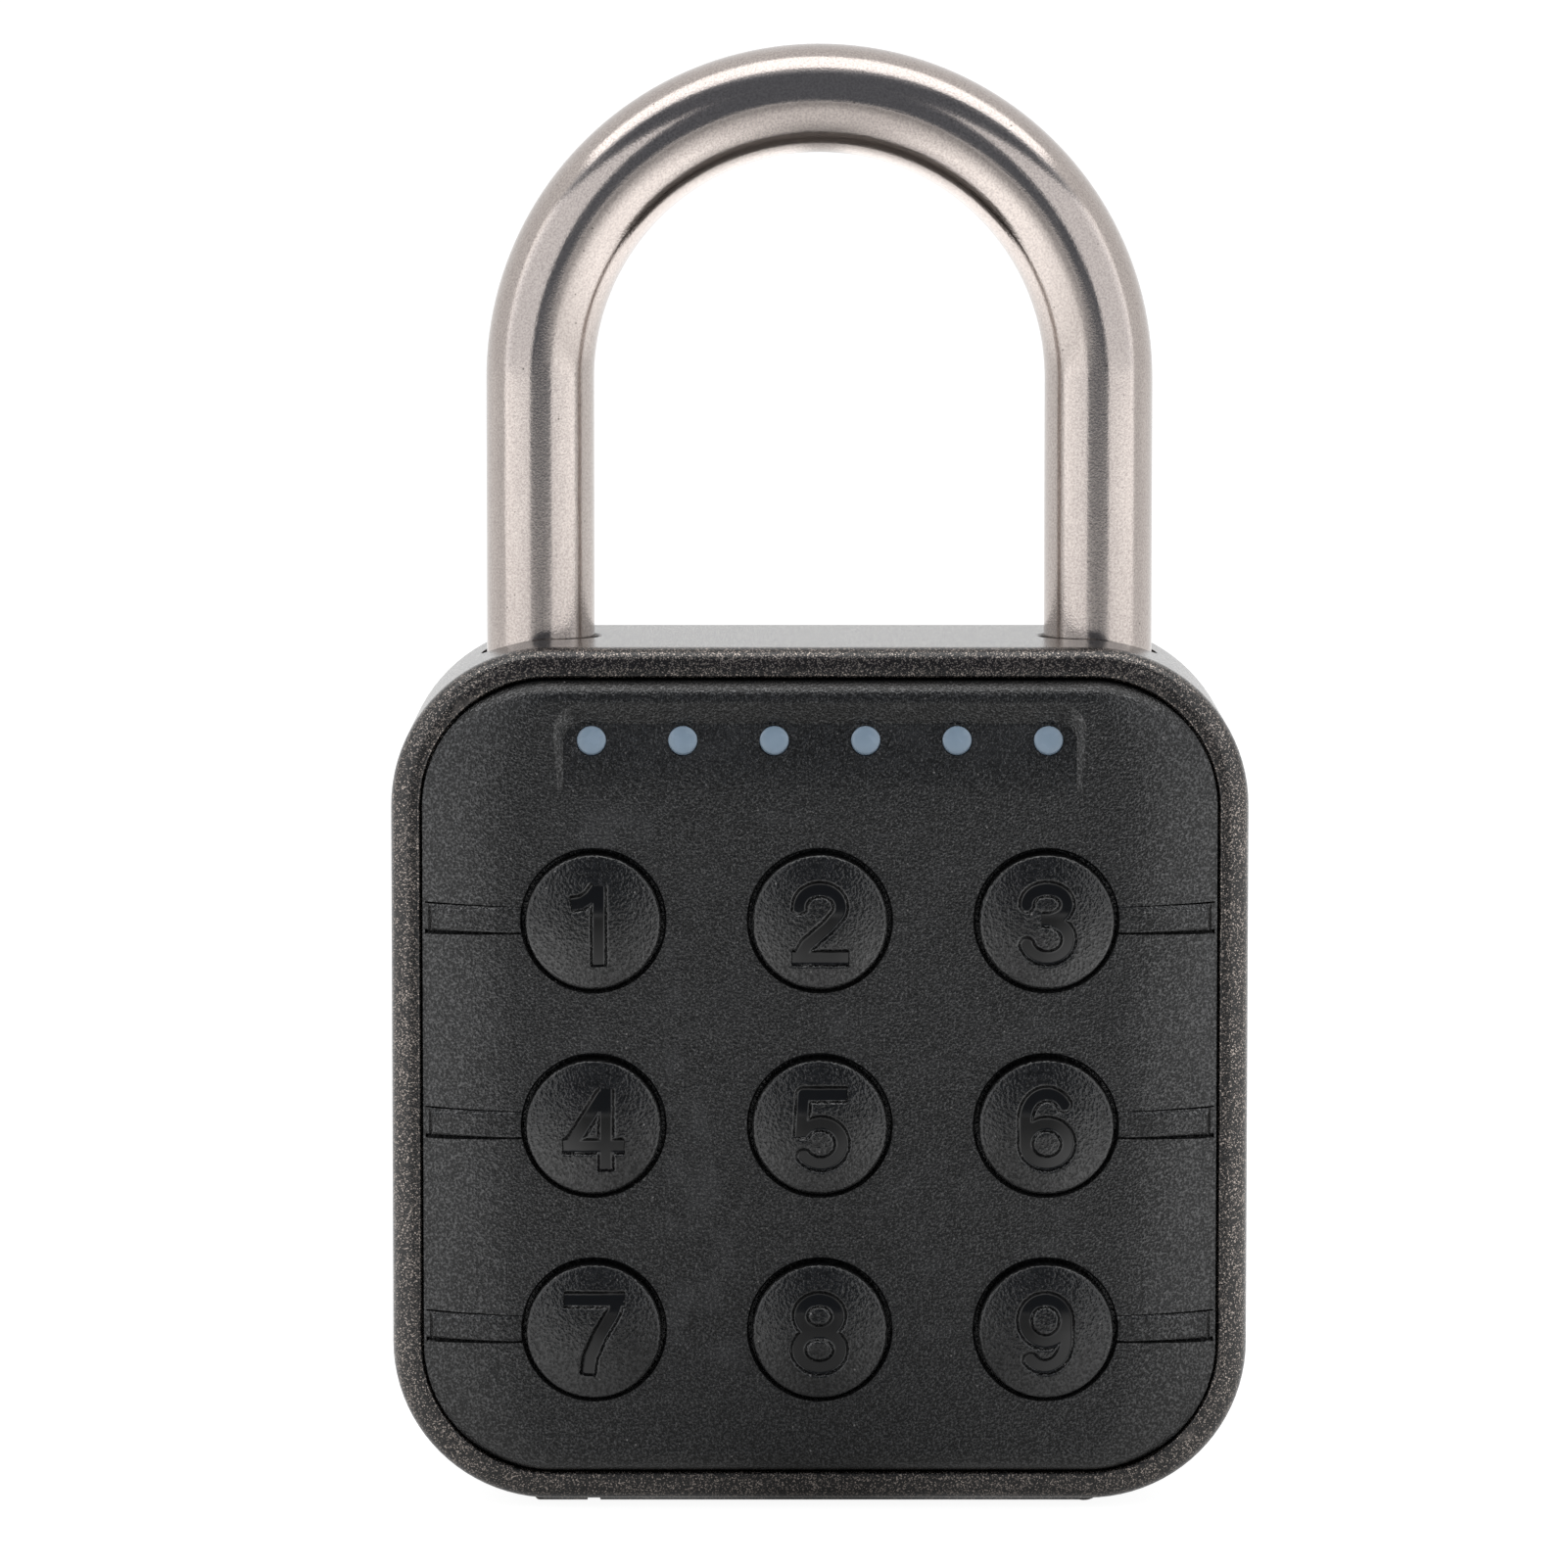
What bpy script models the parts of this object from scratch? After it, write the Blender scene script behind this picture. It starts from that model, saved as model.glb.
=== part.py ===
"""Push-button padlock with a die-cast body, a bent bar shackle and its inner works.

Metres, +Z up. The padlock stands on its base, its buttons face -Y, and the world origin is
under the middle of the whole object. Depths run backwards from the crest of the body's rim.
"""

import math

import bmesh
import bpy
from mathutils import Vector

# Clearances and cutting
GAP = 0.0003
SEAT_GAP = 0.0001
PIN_GAP = 0.0001
OVERRUN = 0.002
ROUND_STEPS = 24
CORNER_STEPS = 7
MERGE_DISTANCE = 0.00001
SHARP_EDGE_DEGREES = 35.0
BEVEL_PROFILE = 0.5
LEAST_MITRE = 0.5

# Body shell
SHELL_WIDTH = 0.0587
SHELL_HEIGHT = 0.0588
SHELL_DEPTH = 0.024
SHELL_CORNER = 0.0109
SHELL_WALL = 0.0019
SHELL_BACK = 0.0022
RIM_OUTER_ROUND = 0.0011
RIM_INNER_ROUND = 0.0006
BACK_ROUND = 0.0024
LEDGE_WIDTH = 0.001
LEDGE_DEPTH = 0.0046
FILLET_STEPS = 3

# Front panel
PANEL_SINK = 0.00035
PANEL_RISE = 0.0019
PANEL_SIDE_ROLL = 0.0067
PANEL_END_ROLL = 0.0014
PANEL_THICKNESS = 0.002
PANEL_SKIRT_WALL = 0.0024
PANEL_SKIRT_DEPTH = 0.0032
PANEL_ROLL_STEPS = 5
CLIP_REACH = 0.0005
CLIP_THICKNESS = 0.001
CLIP_LENGTH = 0.006
CLIP_SPACING = 0.024

# Indicator pocket, its lamps and the light guide
LAMP_COUNT = 6
LAMP_FROM_POCKET_END = 0.002375
LAMP_BELOW_TOP = 0.00625
POCKET_BELOW_TOP = 0.0038
POCKET_FROM_SIDE = 0.0114
POCKET_HEIGHT = 0.0059
POCKET_DEPTH = 0.001
POCKET_TOP_SLOPE = 0.0013
POCKET_SIDE_SLOPE = 0.00045
GUIDE_POST_RADIUS = 0.001
GUIDE_POST_GAP = 0.0002
GUIDE_POST_PROUD = 0.0001
GUIDE_BAR_HEIGHT = 0.0026
GUIDE_BAR_THICKNESS = 0.001
GUIDE_BAR_MARGIN = 0.0014
GUIDE_STUB_LENGTH = 0.0014
CHIP_WIDTH = 0.0016
CHIP_HEIGHT = 0.0012
CHIP_THICKNESS = 0.0006

# Side ribs of the panel
RIB_OUTER_FROM_EDGE = 0.00065
RIB_INNER_RISE = 0.00012
RIB_OUTER_RISE = 0.0006
RIB_INNER_HEIGHT = 0.00167
RIB_OUTER_HEIGHT = 0.0011
RIB_ROOT = 0.0011
RIB_END_SLOPE = 0.0005
RIB_STEPS = 4

# Buttons
BUTTON_COLUMNS = 3
BUTTON_ROWS = 3
BUTTON_COLUMN_FROM_SIDE = 0.0139
BUTTON_ROW_BELOW_TOP = 0.0185
BUTTON_ROW_ABOVE_BOTTOM = 0.01216
BUTTON_RADIUS_SHARE = 0.3326
BUTTON_HOLE_GAP = 0.00034
BUTTON_PROUD = 0.0015
BUTTON_CROWN = 0.0005
BUTTON_EDGE_ROUND = 0.00035
BUTTON_FLANGE_REACH = 0.0011
BUTTON_FLANGE_THICKNESS = 0.0008
BUTTON_POST_RADIUS = 0.0014
BUTTON_POST_LENGTH = 0.0004
BUTTON_TRAVEL = 0.0004
BUTTON_CROWN_STEPS = 3
DIGIT_HEIGHT_SHARE = 1.2286
DIGIT_STROKE_SHARE = 0.1913
DIGIT_DEPTH = 0.0005
DIGIT_BELOW_MIDDLE = 0.00015

# Switches and circuit board
SWITCH_WIDTH = 0.0052
SWITCH_HEIGHT = 0.0012
PLUNGER_RADIUS = 0.0013
PLUNGER_SHOWING = 0.00075
PLUNGER_HIDDEN = 0.0004
BOARD_THICKNESS = 0.001
BOARD_MARGIN = 0.00305
BOARD_CORNER = 0.0055
BOSS_RADIUS = 0.002
BOARD_SCREW_RADIUS = 0.0007
BOARD_SCREW_HEAD_RADIUS = 0.0014
BOARD_SCREW_HEAD = 0.0006
BOARD_SCREW_BITE = 0.0022

# Gasket
GASKET_WIDTH = 0.0013

# Shackle
SHACKLE_RADIUS = 0.00375
SHACKLE_FROM_SIDE = 0.01
SHACKLE_CENTRE_RISE = 0.0179
SHACKLE_HOLE_GAP = 0.0004
TOE_DEPTH = 0.013
TOE_CLEAR_WHEN_LIFTED = 0.0015
TOE_CHAMFER = 0.0008
ARCH_STEPS = 26
SHACKLE_SIDES_HALF = 8
NECK_RADIUS = 0.0025
HEAD_LENGTH = 0.0028
HEEL_PIN_RADIUS = 0.00125
HEEL_PIN_SHARE = 0.59
HEEL_PIN_STOP = 0.0015
NOTCH_ABOVE_END = 0.0025

# Latch bolt and its drive
BOLT_HEIGHT = 0.003
BOLT_TRAVEL = 0.0023
BOLT_STAND_OFF = 0.0005
BOLT_TAIL = 0.0065
BOLT_NOSE_LENGTH = 0.0022
BOLT_NOSE_SLOPE = 0.0012
BOLT_HALF_DEPTH = 0.002
BOLT_SHOE_END = 0.009
TOOTH_MODULE = 0.00048
PINION_TEETH = 10
RACK_TEETH = 5
TOOTH_ADDENDUM_SHARE = 0.8
TOOTH_DEDENDUM_SHARE = 1.2
TOOTH_BACKLASH_SHARE = 0.3
TOOTH_PRESSURE_DEGREES = 25.0
TOOTH_FLANK_STEPS = 3
PINION_SHAFT_RADIUS = 0.0009
PINION_HEIGHT = 0.0028
PINION_SHAFT_ABOVE = 0.0007
PINION_SHAFT_IN_MOTOR = 0.0025

# Gear motor
MOTOR_WIDTH = 0.012
MOTOR_THICKNESS = 0.010
GEARBOX_LENGTH = 0.009
MOTOR_CAN_CORNER = 0.0035
MOTOR_BELOW_BOLT = 0.0044
MOTOR_ABOVE_CELL_BAY = 0.0023
MOTOR_BOSS_RADIUS = 0.002
MOTOR_BOSS_HEIGHT = 0.0006

# Lock case, its cover and screws
COVER_THICKNESS = 0.001
COVER_BEHIND_BOARD = 0.001
CASE_SCREW_RADIUS = 0.001
CASE_SCREW_HEAD_RADIUS = 0.0018
CASE_SCREW_HEAD = 0.0008
CASE_SCREW_BITE = 0.0012
CASE_SCREW_RISE = 0.0038
DRIVER_SOCKET_RADIUS = 0.0006
DRIVER_SOCKET_DEPTH = 0.0004
DRIVER_SOCKET_SIDES = 6
HOLE_GAP = 0.0003

# Lift spring
SPRING_WIRE = 0.0007
SPRING_MEAN_RADIUS = 0.0027
SPRING_PITCH = 0.0013
SPRING_SIDES_HALF = 3
SPRING_POINTS_PER_TURN = 9
SPRING_SEAT_WALL = 0.0018

# Battery, its contacts and door
CELL_RADIUS = 0.00755
CELL_LENGTH = 0.027
CELL_NUB_RADIUS = 0.003
CELL_NUB_LENGTH = 0.0008
CELL_EDGE = 0.0005
CONTACT_SPACE = 0.0027
CONTACT_PLATE = 0.0005
CONTACT_WIDTH = 0.008
CONTACT_STUD_RADIUS = 0.0018
DOOR_PROUD = 0.0006
DOOR_FROM_SIDE = 0.00965
DOOR_THICKNESS = 0.0025
DOOR_FROM_RIM = 0.0036
DOOR_FROM_BACK = 0.0032
DOOR_EDGE = 0.0004
DOOR_KNUCKLE_RADIUS = 0.0014
HINGE_PIN_RADIUS = 0.00045
HINGE_PIN_BITE = 0.0008
NICK_FROM_END = 0.0041
NICK_RADIUS = 0.0004
NICK_LENGTH = 0.0022

# Digit strokes: centre lines as shares of the digit's height, x to the right and z up from
# its middle. An arc is (centre x, centre z, radius x, radius z, first angle, last angle).
DIGIT_ARC_STEP_DEGREES = 24.0
DIGIT_STROKE_SHARES = {
    1: [
        [("point", 0.065, 0.44), ("point", 0.065, -0.5)],
        [
            ("point", -0.26, 0.225),
            ("point", -0.13, 0.245),
            ("point", -0.03, 0.31),
            ("point", 0.05, 0.42),
        ],
    ],
    2: [
        [
            ("point", -0.24, 0.14),
            ("arc", 0.0, 0.195, 0.24, 0.205, 180, -25),
            ("point", 0.1, -0.03),
            ("point", -0.15, -0.25),
            ("point", -0.24, -0.405),
        ],
        [("point", -0.33, -0.405), ("point", 0.34, -0.405)],
    ],
    3: [
        [("arc", 0.0, 0.225, 0.235, 0.18, 190, -78)],
        [("point", -0.06, 0.045), ("point", 0.1, 0.045)],
        [("arc", 0.005, -0.185, 0.25, 0.22, 78, -172)],
    ],
    4: [
        [("point", 0.145, 0.47), ("point", 0.145, -0.5)],
        [("point", 0.12, 0.41), ("point", -0.27, -0.2)],
        [("point", -0.36, -0.205), ("point", 0.36, -0.205)],
    ],
    5: [
        [
            ("point", 0.32, 0.4),
            ("point", -0.19, 0.4),
            ("point", -0.22, -0.1),
        ],
        [("arc", 0.01, -0.175, 0.25, 0.24, 152, -150)],
    ],
    6: [
        [("ring", 0.005, -0.175, 0.25, 0.235)],
        [("point", -0.245, -0.175), ("arc", 0.005, 0.11, 0.25, 0.3, 180, 28)],
    ],
    7: [
        [("point", -0.35, 0.39), ("point", 0.36, 0.39)],
        [
            ("point", 0.28, 0.39),
            ("point", 0.22, 0.22),
            ("point", 0.07, -0.03),
            ("point", -0.04, -0.28),
            ("point", -0.07, -0.5),
        ],
    ],
    8: [
        [("ring", -0.005, 0.2, 0.225, 0.195)],
        [("ring", -0.005, -0.2, 0.245, 0.21)],
    ],
    9: [
        [("ring", -0.005, 0.145, 0.245, 0.25)],
        [("point", 0.24, 0.145), ("arc", -0.01, -0.08, 0.25, 0.32, 0, -140)],
    ],
}

# Places worked out from the sizes above
PANEL_PROUD = PANEL_RISE - PANEL_SINK
TOTAL_DEPTH = SHELL_DEPTH + PANEL_PROUD + BUTTON_PROUD
RIM_Y = -TOTAL_DEPTH / 2 + PANEL_PROUD + BUTTON_PROUD
SHELL_TOP = DOOR_PROUD + SHELL_HEIGHT
MIDDLE_Z = DOOR_PROUD + SHELL_HEIGHT / 2
PANEL_HALF_WIDTH = SHELL_WIDTH / 2 - SHELL_WALL - GAP
PANEL_HALF_HEIGHT = SHELL_HEIGHT / 2 - SHELL_WALL - GAP
PANEL_CORNER = SHELL_CORNER - SHELL_WALL - GAP
CEILING_DEPTH = PANEL_THICKNESS - PANEL_PROUD
FLANGE_DEPTH = CEILING_DEPTH + GAP
BUTTON_POST_END = FLANGE_DEPTH + BUTTON_FLANGE_THICKNESS + BUTTON_POST_LENGTH
PLUNGER_DEPTH = BUTTON_POST_END + SEAT_GAP
SWITCH_DEPTH = PLUNGER_DEPTH + PLUNGER_SHOWING
BOARD_DEPTH = SWITCH_DEPTH + SWITCH_HEIGHT + SEAT_GAP
COVER_DEPTH = BOARD_DEPTH + BOARD_THICKNESS + COVER_BEHIND_BOARD
CASE_DEPTH = COVER_DEPTH + COVER_THICKNESS + SEAT_GAP
CASE_BACK_DEPTH = SHELL_DEPTH - SHELL_BACK - GAP
CASE_INSET = SHELL_WALL + LEDGE_WIDTH + GAP
CASE_HALF_WIDTH = SHELL_WIDTH / 2 - CASE_INSET
CASE_BOTTOM = DOOR_PROUD + CASE_INSET
CASE_TOP = SHELL_TOP - CASE_INSET
CASE_CORNER = SHELL_CORNER - CASE_INSET
LEG_X = SHELL_WIDTH / 2 - SHACKLE_FROM_SIDE
LEG_DEPTH = SHELL_DEPTH / 2
LEG_HOLE_RADIUS = SHACKLE_RADIUS + SHACKLE_HOLE_GAP
ARCH_Z = SHELL_TOP + SHACKLE_CENTRE_RISE
TOE_END_Z = SHELL_TOP - TOE_DEPTH
SHACKLE_LIFT = TOE_DEPTH + TOE_CLEAR_WHEN_LIFTED
NOTCH_DEPTH = BOLT_TRAVEL - BOLT_STAND_OFF + GAP
NOTCH_Z = TOE_END_Z + NOTCH_ABOVE_END
BOLT_Z = NOTCH_Z + GAP
BOLT_MIDDLE_Z = BOLT_Z + BOLT_HEIGHT / 2
BOLT_TIP_X = LEG_X - SHACKLE_RADIUS - BOLT_STAND_OFF
BOLT_SHOE_DEPTH = CASE_DEPTH + GAP
BOLT_FRONT_DEPTH = LEG_DEPTH - BOLT_HALF_DEPTH
BOLT_BACK_DEPTH = LEG_DEPTH + BOLT_HALF_DEPTH
PITCH_RADIUS = TOOTH_MODULE * PINION_TEETH / 2
TOOTH_ADDENDUM = TOOTH_MODULE * TOOTH_ADDENDUM_SHARE
TOOTH_DEDENDUM = TOOTH_MODULE * TOOTH_DEDENDUM_SHARE
PINION_DEPTH = BOLT_BACK_DEPTH - TOOTH_ADDENDUM + PITCH_RADIUS
MOTOR_TOP_Z = BOLT_Z - MOTOR_BELOW_BOLT
CELL_Z = DOOR_THICKNESS + GAP + CELL_RADIUS
CELL_TOP_Z = CELL_Z + CELL_RADIUS
CELL_DEPTH = (BOARD_DEPTH + BOARD_THICKNESS + SHELL_DEPTH - SHELL_BACK) / 2
CELL_BAY_TOP = CELL_TOP_Z + GAP
CELL_BAY_HALF = CELL_LENGTH / 2 + CONTACT_SPACE
MOTOR_BOTTOM_Z = CELL_BAY_TOP + MOTOR_ABOVE_CELL_BAY
CASE_SCREW_X = (MOTOR_WIDTH / 2 + GAP + LEG_X - LEG_HOLE_RADIUS) / 2
SPRING_SEAT_Z = CELL_BAY_TOP + SPRING_SEAT_WALL
HEEL_ROOM = SHELL_TOP - SPRING_SEAT_Z - SHACKLE_LIFT - HEAD_LENGTH
HEEL_PIN_Z = SHELL_TOP - HEEL_PIN_SHARE * HEEL_ROOM
HEEL_PIN_X = -LEG_X - NECK_RADIUS - GAP - HEEL_PIN_RADIUS
NECK_TOP_Z = HEEL_PIN_Z + HEEL_PIN_RADIUS + GAP
NECK_BOTTOM_Z = HEEL_PIN_Z - HEEL_PIN_RADIUS - GAP - SHACKLE_LIFT
HEEL_END_Z = NECK_BOTTOM_Z - HEAD_LENGTH
DOOR_RIGHT = SHELL_WIDTH / 2 - DOOR_FROM_SIDE
HINGE_X = DOOR_RIGHT - DOOR_KNUCKLE_RADIUS
HINGE_Z = DOOR_KNUCKLE_RADIUS
DOOR_BACK_DEPTH = SHELL_DEPTH - DOOR_FROM_BACK
LAMP_Z = SHELL_TOP - LAMP_BELOW_TOP
POCKET_TOP_Z = SHELL_TOP - POCKET_BELOW_TOP
POCKET_BOTTOM_Z = POCKET_TOP_Z - POCKET_HEIGHT
POCKET_HALF_WIDTH = SHELL_WIDTH / 2 - POCKET_FROM_SIDE
LAMP_PITCH = 2 * (POCKET_HALF_WIDTH - LAMP_FROM_POCKET_END) / (LAMP_COUNT - 1)
SWITCH_WELL = PLUNGER_HIDDEN + BUTTON_TRAVEL + SEAT_GAP
BUTTON_PITCH_X = (SHELL_WIDTH - 2 * BUTTON_COLUMN_FROM_SIDE) / (BUTTON_COLUMNS - 1)
BUTTON_PITCH_Z = (SHELL_HEIGHT - BUTTON_ROW_BELOW_TOP - BUTTON_ROW_ABOVE_BOTTOM) / (BUTTON_ROWS - 1)
BUTTON_MIDDLE_Z = MIDDLE_Z + (BUTTON_ROW_ABOVE_BOTTOM - BUTTON_ROW_BELOW_TOP) / 2
BUTTON_RADIUS = BUTTON_RADIUS_SHARE * min(BUTTON_PITCH_X, BUTTON_PITCH_Z)
DIGIT_HEIGHT = BUTTON_RADIUS * DIGIT_HEIGHT_SHARE
DIGIT_STROKE = DIGIT_HEIGHT * DIGIT_STROKE_SHARE
SIDE_ARC_RADIUS = (PANEL_SIDE_ROLL**2 + PANEL_RISE**2) / (2 * PANEL_RISE)


def depth_y(depth):
    """World Y of a depth behind the rim's crest."""
    return RIM_Y + depth


def clear_scene():
    for obj in list(bpy.data.objects):
        bpy.data.objects.remove(obj, do_unlink=True)


def make_collection(name):
    collection = bpy.data.collections.new(name)
    bpy.context.scene.collection.children.link(collection)
    return collection


def make_material(name, colour, roughness, metallic=0.0):
    material = bpy.data.materials.new(name)
    material.use_nodes = True
    shader = material.node_tree.nodes["Principled BSDF"]
    shader.inputs["Base Color"].default_value = (*colour, 1.0)
    shader.inputs["Roughness"].default_value = roughness
    shader.inputs["Metallic"].default_value = metallic
    return material


clear_scene()
PARTS = make_collection("padlock")
CUTTERS = make_collection("cutters")
CUTTERS.hide_render = True

PAINT = make_material("sandy_paint", (0.035, 0.031, 0.028), 0.45, 0.6)
PANEL_PLASTIC = make_material("panel_plastic", (0.02, 0.02, 0.021), 0.4)
BUTTON_PLASTIC = make_material("button_plastic", (0.022, 0.022, 0.023), 0.35)
STAINLESS = make_material("stainless", (0.62, 0.59, 0.56), 0.25, 1.0)
STEEL = make_material("steel", (0.5, 0.5, 0.5), 0.35, 1.0)
ZINC = make_material("zinc", (0.45, 0.45, 0.46), 0.45, 1.0)
BRASS = make_material("brass", (0.72, 0.55, 0.27), 0.3, 1.0)
RUBBER = make_material("rubber", (0.03, 0.03, 0.03), 0.8)
MILKY = make_material("milky_plastic", (0.22, 0.3, 0.36), 0.35)
BOARD_GREEN = make_material("board", (0.02, 0.12, 0.05), 0.4)
SWITCH_BLACK = make_material("switch_black", (0.03, 0.03, 0.03), 0.5)
CHIP_WHITE = make_material("chip_white", (0.75, 0.73, 0.66), 0.4)
CELL_WRAP = make_material("cell_wrap", (0.1, 0.12, 0.2), 0.3)


def add_object(name, mesh, material=None):
    """Links a mesh as a part, or as a hidden cutter when it has no material."""
    obj = bpy.data.objects.new(name, mesh)
    if material is None:
        CUTTERS.objects.link(obj)
        obj.hide_render = True
        obj.display_type = "WIRE"
    else:
        PARTS.objects.link(obj)
        mesh.materials.clear()
        mesh.materials.append(material)
    return obj


def mesh_object(name, bm, material=None):
    bmesh.ops.recalc_face_normals(bm, faces=bm.faces)
    mesh = bpy.data.meshes.new(name)
    bm.to_mesh(mesh)
    bm.free()
    return add_object(name, mesh, material)


def set_origin(obj, point):
    """Moves the object's origin to a world point and leaves its shape in place."""
    point = Vector(point)
    for vertex in obj.data.vertices:
        vertex.co -= point - obj.location
    obj.location = point
    return obj


def attach(child, parent):
    """Parents the child and leaves it in place."""
    child.location = Vector(child.location) - Vector(parent.location)
    child.parent = parent
    return child


def joint_empty(name, point):
    empty = bpy.data.objects.new(name, None)
    empty.empty_display_size = BUTTON_RADIUS
    empty.location = point
    PARTS.objects.link(empty)
    return empty


def boolean(target, other, operation="DIFFERENCE"):
    modifier = target.modifiers.new(other.name, "BOOLEAN")
    modifier.operation = operation
    modifier.solver = "EXACT"
    modifier.object = other
    return target


def smooth_by_angle(obj):
    obj.data.shade_smooth()
    obj.data.set_sharp_from_angle(angle=math.radians(SHARP_EDGE_DEGREES))
    return obj


def block(name, low, high, material=None, bevel=0.0, bevel_steps=2):
    """A box between two corners, with its edges rounded where a bevel is given."""
    bm = bmesh.new()
    bmesh.ops.create_cube(bm, size=1.0)
    low, high = Vector(low), Vector(high)
    for vertex in bm.verts:
        for axis in range(3):
            vertex.co[axis] = high[axis] if vertex.co[axis] > 0 else low[axis]
    if bevel:
        bmesh.ops.bevel(
            bm,
            geom=bm.edges[:],
            offset=bevel,
            segments=bevel_steps,
            profile=BEVEL_PROFILE,
            affect="EDGES",
            clamp_overlap=True,
        )
    return mesh_object(name, bm, material)


def rod(name, start, end, radius, material=None, sides=ROUND_STEPS):
    """A straight cylinder between two points."""
    start, end = Vector(start), Vector(end)
    bm = bmesh.new()
    bmesh.ops.create_cone(
        bm,
        cap_ends=True,
        segments=sides,
        radius1=radius,
        radius2=radius,
        depth=(end - start).length,
    )
    turn = Vector((0, 0, 1)).rotation_difference(end - start).to_matrix()
    bmesh.ops.rotate(bm, verts=bm.verts, matrix=turn)
    bmesh.ops.translate(bm, verts=bm.verts, vec=(start + end) / 2)
    return mesh_object(name, bm, material)


def turned(name, profile, origin, material=None, facing="UP", steps=ROUND_STEPS):
    """A turned piece. The profile is (radius, height) from the top down its outer side.

    Heights run from the origin, upwards, towards the front, or to the right.
    """
    mesh = bpy.data.meshes.new(name)
    points = [(radius, 0, height) for radius, height in profile]
    edges = [(index, index + 1) for index in range(len(points) - 1)]
    mesh.from_pydata(points, edges, [])
    obj = add_object(name, mesh, material)
    obj.location = origin
    if facing == "FRONT":
        obj.rotation_euler = (math.radians(90), 0, 0)
    if facing == "RIGHT":
        obj.rotation_euler = (0, math.radians(90), 0)
    screw = obj.modifiers.new("turn", "SCREW")
    screw.axis = "Z"
    screw.angle = math.radians(360)
    screw.steps = steps
    screw.render_steps = steps
    screw.use_merge_vertices = True
    screw.merge_threshold = MERGE_DISTANCE
    screw.use_smooth_shade = True
    return obj


def rounded_ring(half_x, half_z, round_x, round_z, depth, middle_z=MIDDLE_Z):
    """Points round a rectangle with rounded corners, in a plane across the depth."""
    points = []
    for corner, (side_x, side_z) in enumerate([(1, 1), (-1, 1), (-1, -1), (1, -1)]):
        for step in range(CORNER_STEPS + 1):
            angle = math.radians(90 * (corner + step / CORNER_STEPS))
            x = side_x * (half_x - round_x) + round_x * math.cos(angle)
            z = middle_z + side_z * (half_z - round_z) + round_z * math.sin(angle)
            points.append((x, depth_y(depth), z))
    return points


def shell_ring(inset, depth):
    """A ring that follows the body's outline, moved in by an inset."""
    return rounded_ring(
        SHELL_WIDTH / 2 - inset,
        SHELL_HEIGHT / 2 - inset,
        SHELL_CORNER - inset,
        SHELL_CORNER - inset,
        depth,
    )


def panel_ring(inset_x, inset_z, depth):
    """A ring that follows the panel's outline, moved in by unlike insets."""
    return rounded_ring(
        PANEL_HALF_WIDTH - inset_x,
        PANEL_HALF_HEIGHT - inset_z,
        PANEL_CORNER - inset_x,
        PANEL_CORNER - inset_z,
        depth,
    )


def loft(name, rings, material=None):
    """A closed skin through rings of equal count, with a flat cap at each end."""
    bm = bmesh.new()
    rows = [[bm.verts.new(point) for point in ring] for ring in rings]
    for row, following in zip(rows, rows[1:]):
        for index in range(len(row)):
            after = (index + 1) % len(row)
            bm.faces.new((row[index], row[after], following[after], following[index]))
    bm.faces.new(rows[0])
    bm.faces.new(reversed(rows[-1]))
    return mesh_object(name, bm, material)


def hollow_loft(name, rings, material=None):
    """A skin through rings that closes on itself, such as a frame or a gasket."""
    bm = bmesh.new()
    rows = [[bm.verts.new(point) for point in ring] for ring in rings]
    for row, following in zip(rows, rows[1:] + rows[:1]):
        for index in range(len(row)):
            after = (index + 1) % len(row)
            bm.faces.new((row[index], row[after], following[after], following[index]))
    return mesh_object(name, bm, material)


def prism(name, outline, plane, low, high, material=None):
    """An outline pushed along the axis that its plane leaves out."""
    bm = bmesh.new()
    order = {"XY": (0, 1, 2), "XZ": (0, 2, 1), "YZ": (1, 2, 0)}[plane]
    corners = []
    for first, second in outline:
        point = [0.0, 0.0, 0.0]
        point[order[0]] = first
        point[order[1]] = second
        point[order[2]] = low
        corners.append(bm.verts.new(point))
    face = bm.faces.new(corners)
    push = [0.0, 0.0, 0.0]
    push[order[2]] = high - low
    grown = bmesh.ops.extrude_face_region(bm, geom=[face])["geom"]
    moved = [item for item in grown if isinstance(item, bmesh.types.BMVert)]
    bmesh.ops.translate(bm, verts=moved, vec=push)
    return mesh_object(name, bm, material)


def tube(name, points, radius, half_sides, material=None):
    """A bent bar or wire: a bevelled curve made into a mesh with welded caps."""
    curve = bpy.data.curves.new(name, "CURVE")
    curve.dimensions = "3D"
    curve.bevel_depth = radius
    curve.bevel_resolution = half_sides - 2
    curve.use_fill_caps = True
    spline = curve.splines.new("POLY")
    spline.points.add(len(points) - 1)
    for target, point in zip(spline.points, points):
        target.co = (*point, 1.0)
    guide = bpy.data.objects.new(name + "_guide", curve)
    bpy.context.scene.collection.objects.link(guide)
    graph = bpy.context.evaluated_depsgraph_get()
    mesh = bpy.data.meshes.new_from_object(guide.evaluated_get(graph))
    mesh.name = name
    bm = bmesh.new()
    bm.from_mesh(mesh)
    bmesh.ops.remove_doubles(bm, verts=bm.verts, dist=MERGE_DISTANCE)
    bmesh.ops.recalc_face_normals(bm, faces=bm.faces)
    bm.to_mesh(mesh)
    bm.free()
    obj = add_object(name, mesh, material)
    obj.matrix_world = guide.matrix_world
    bpy.data.objects.remove(guide, do_unlink=True)
    return obj


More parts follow.
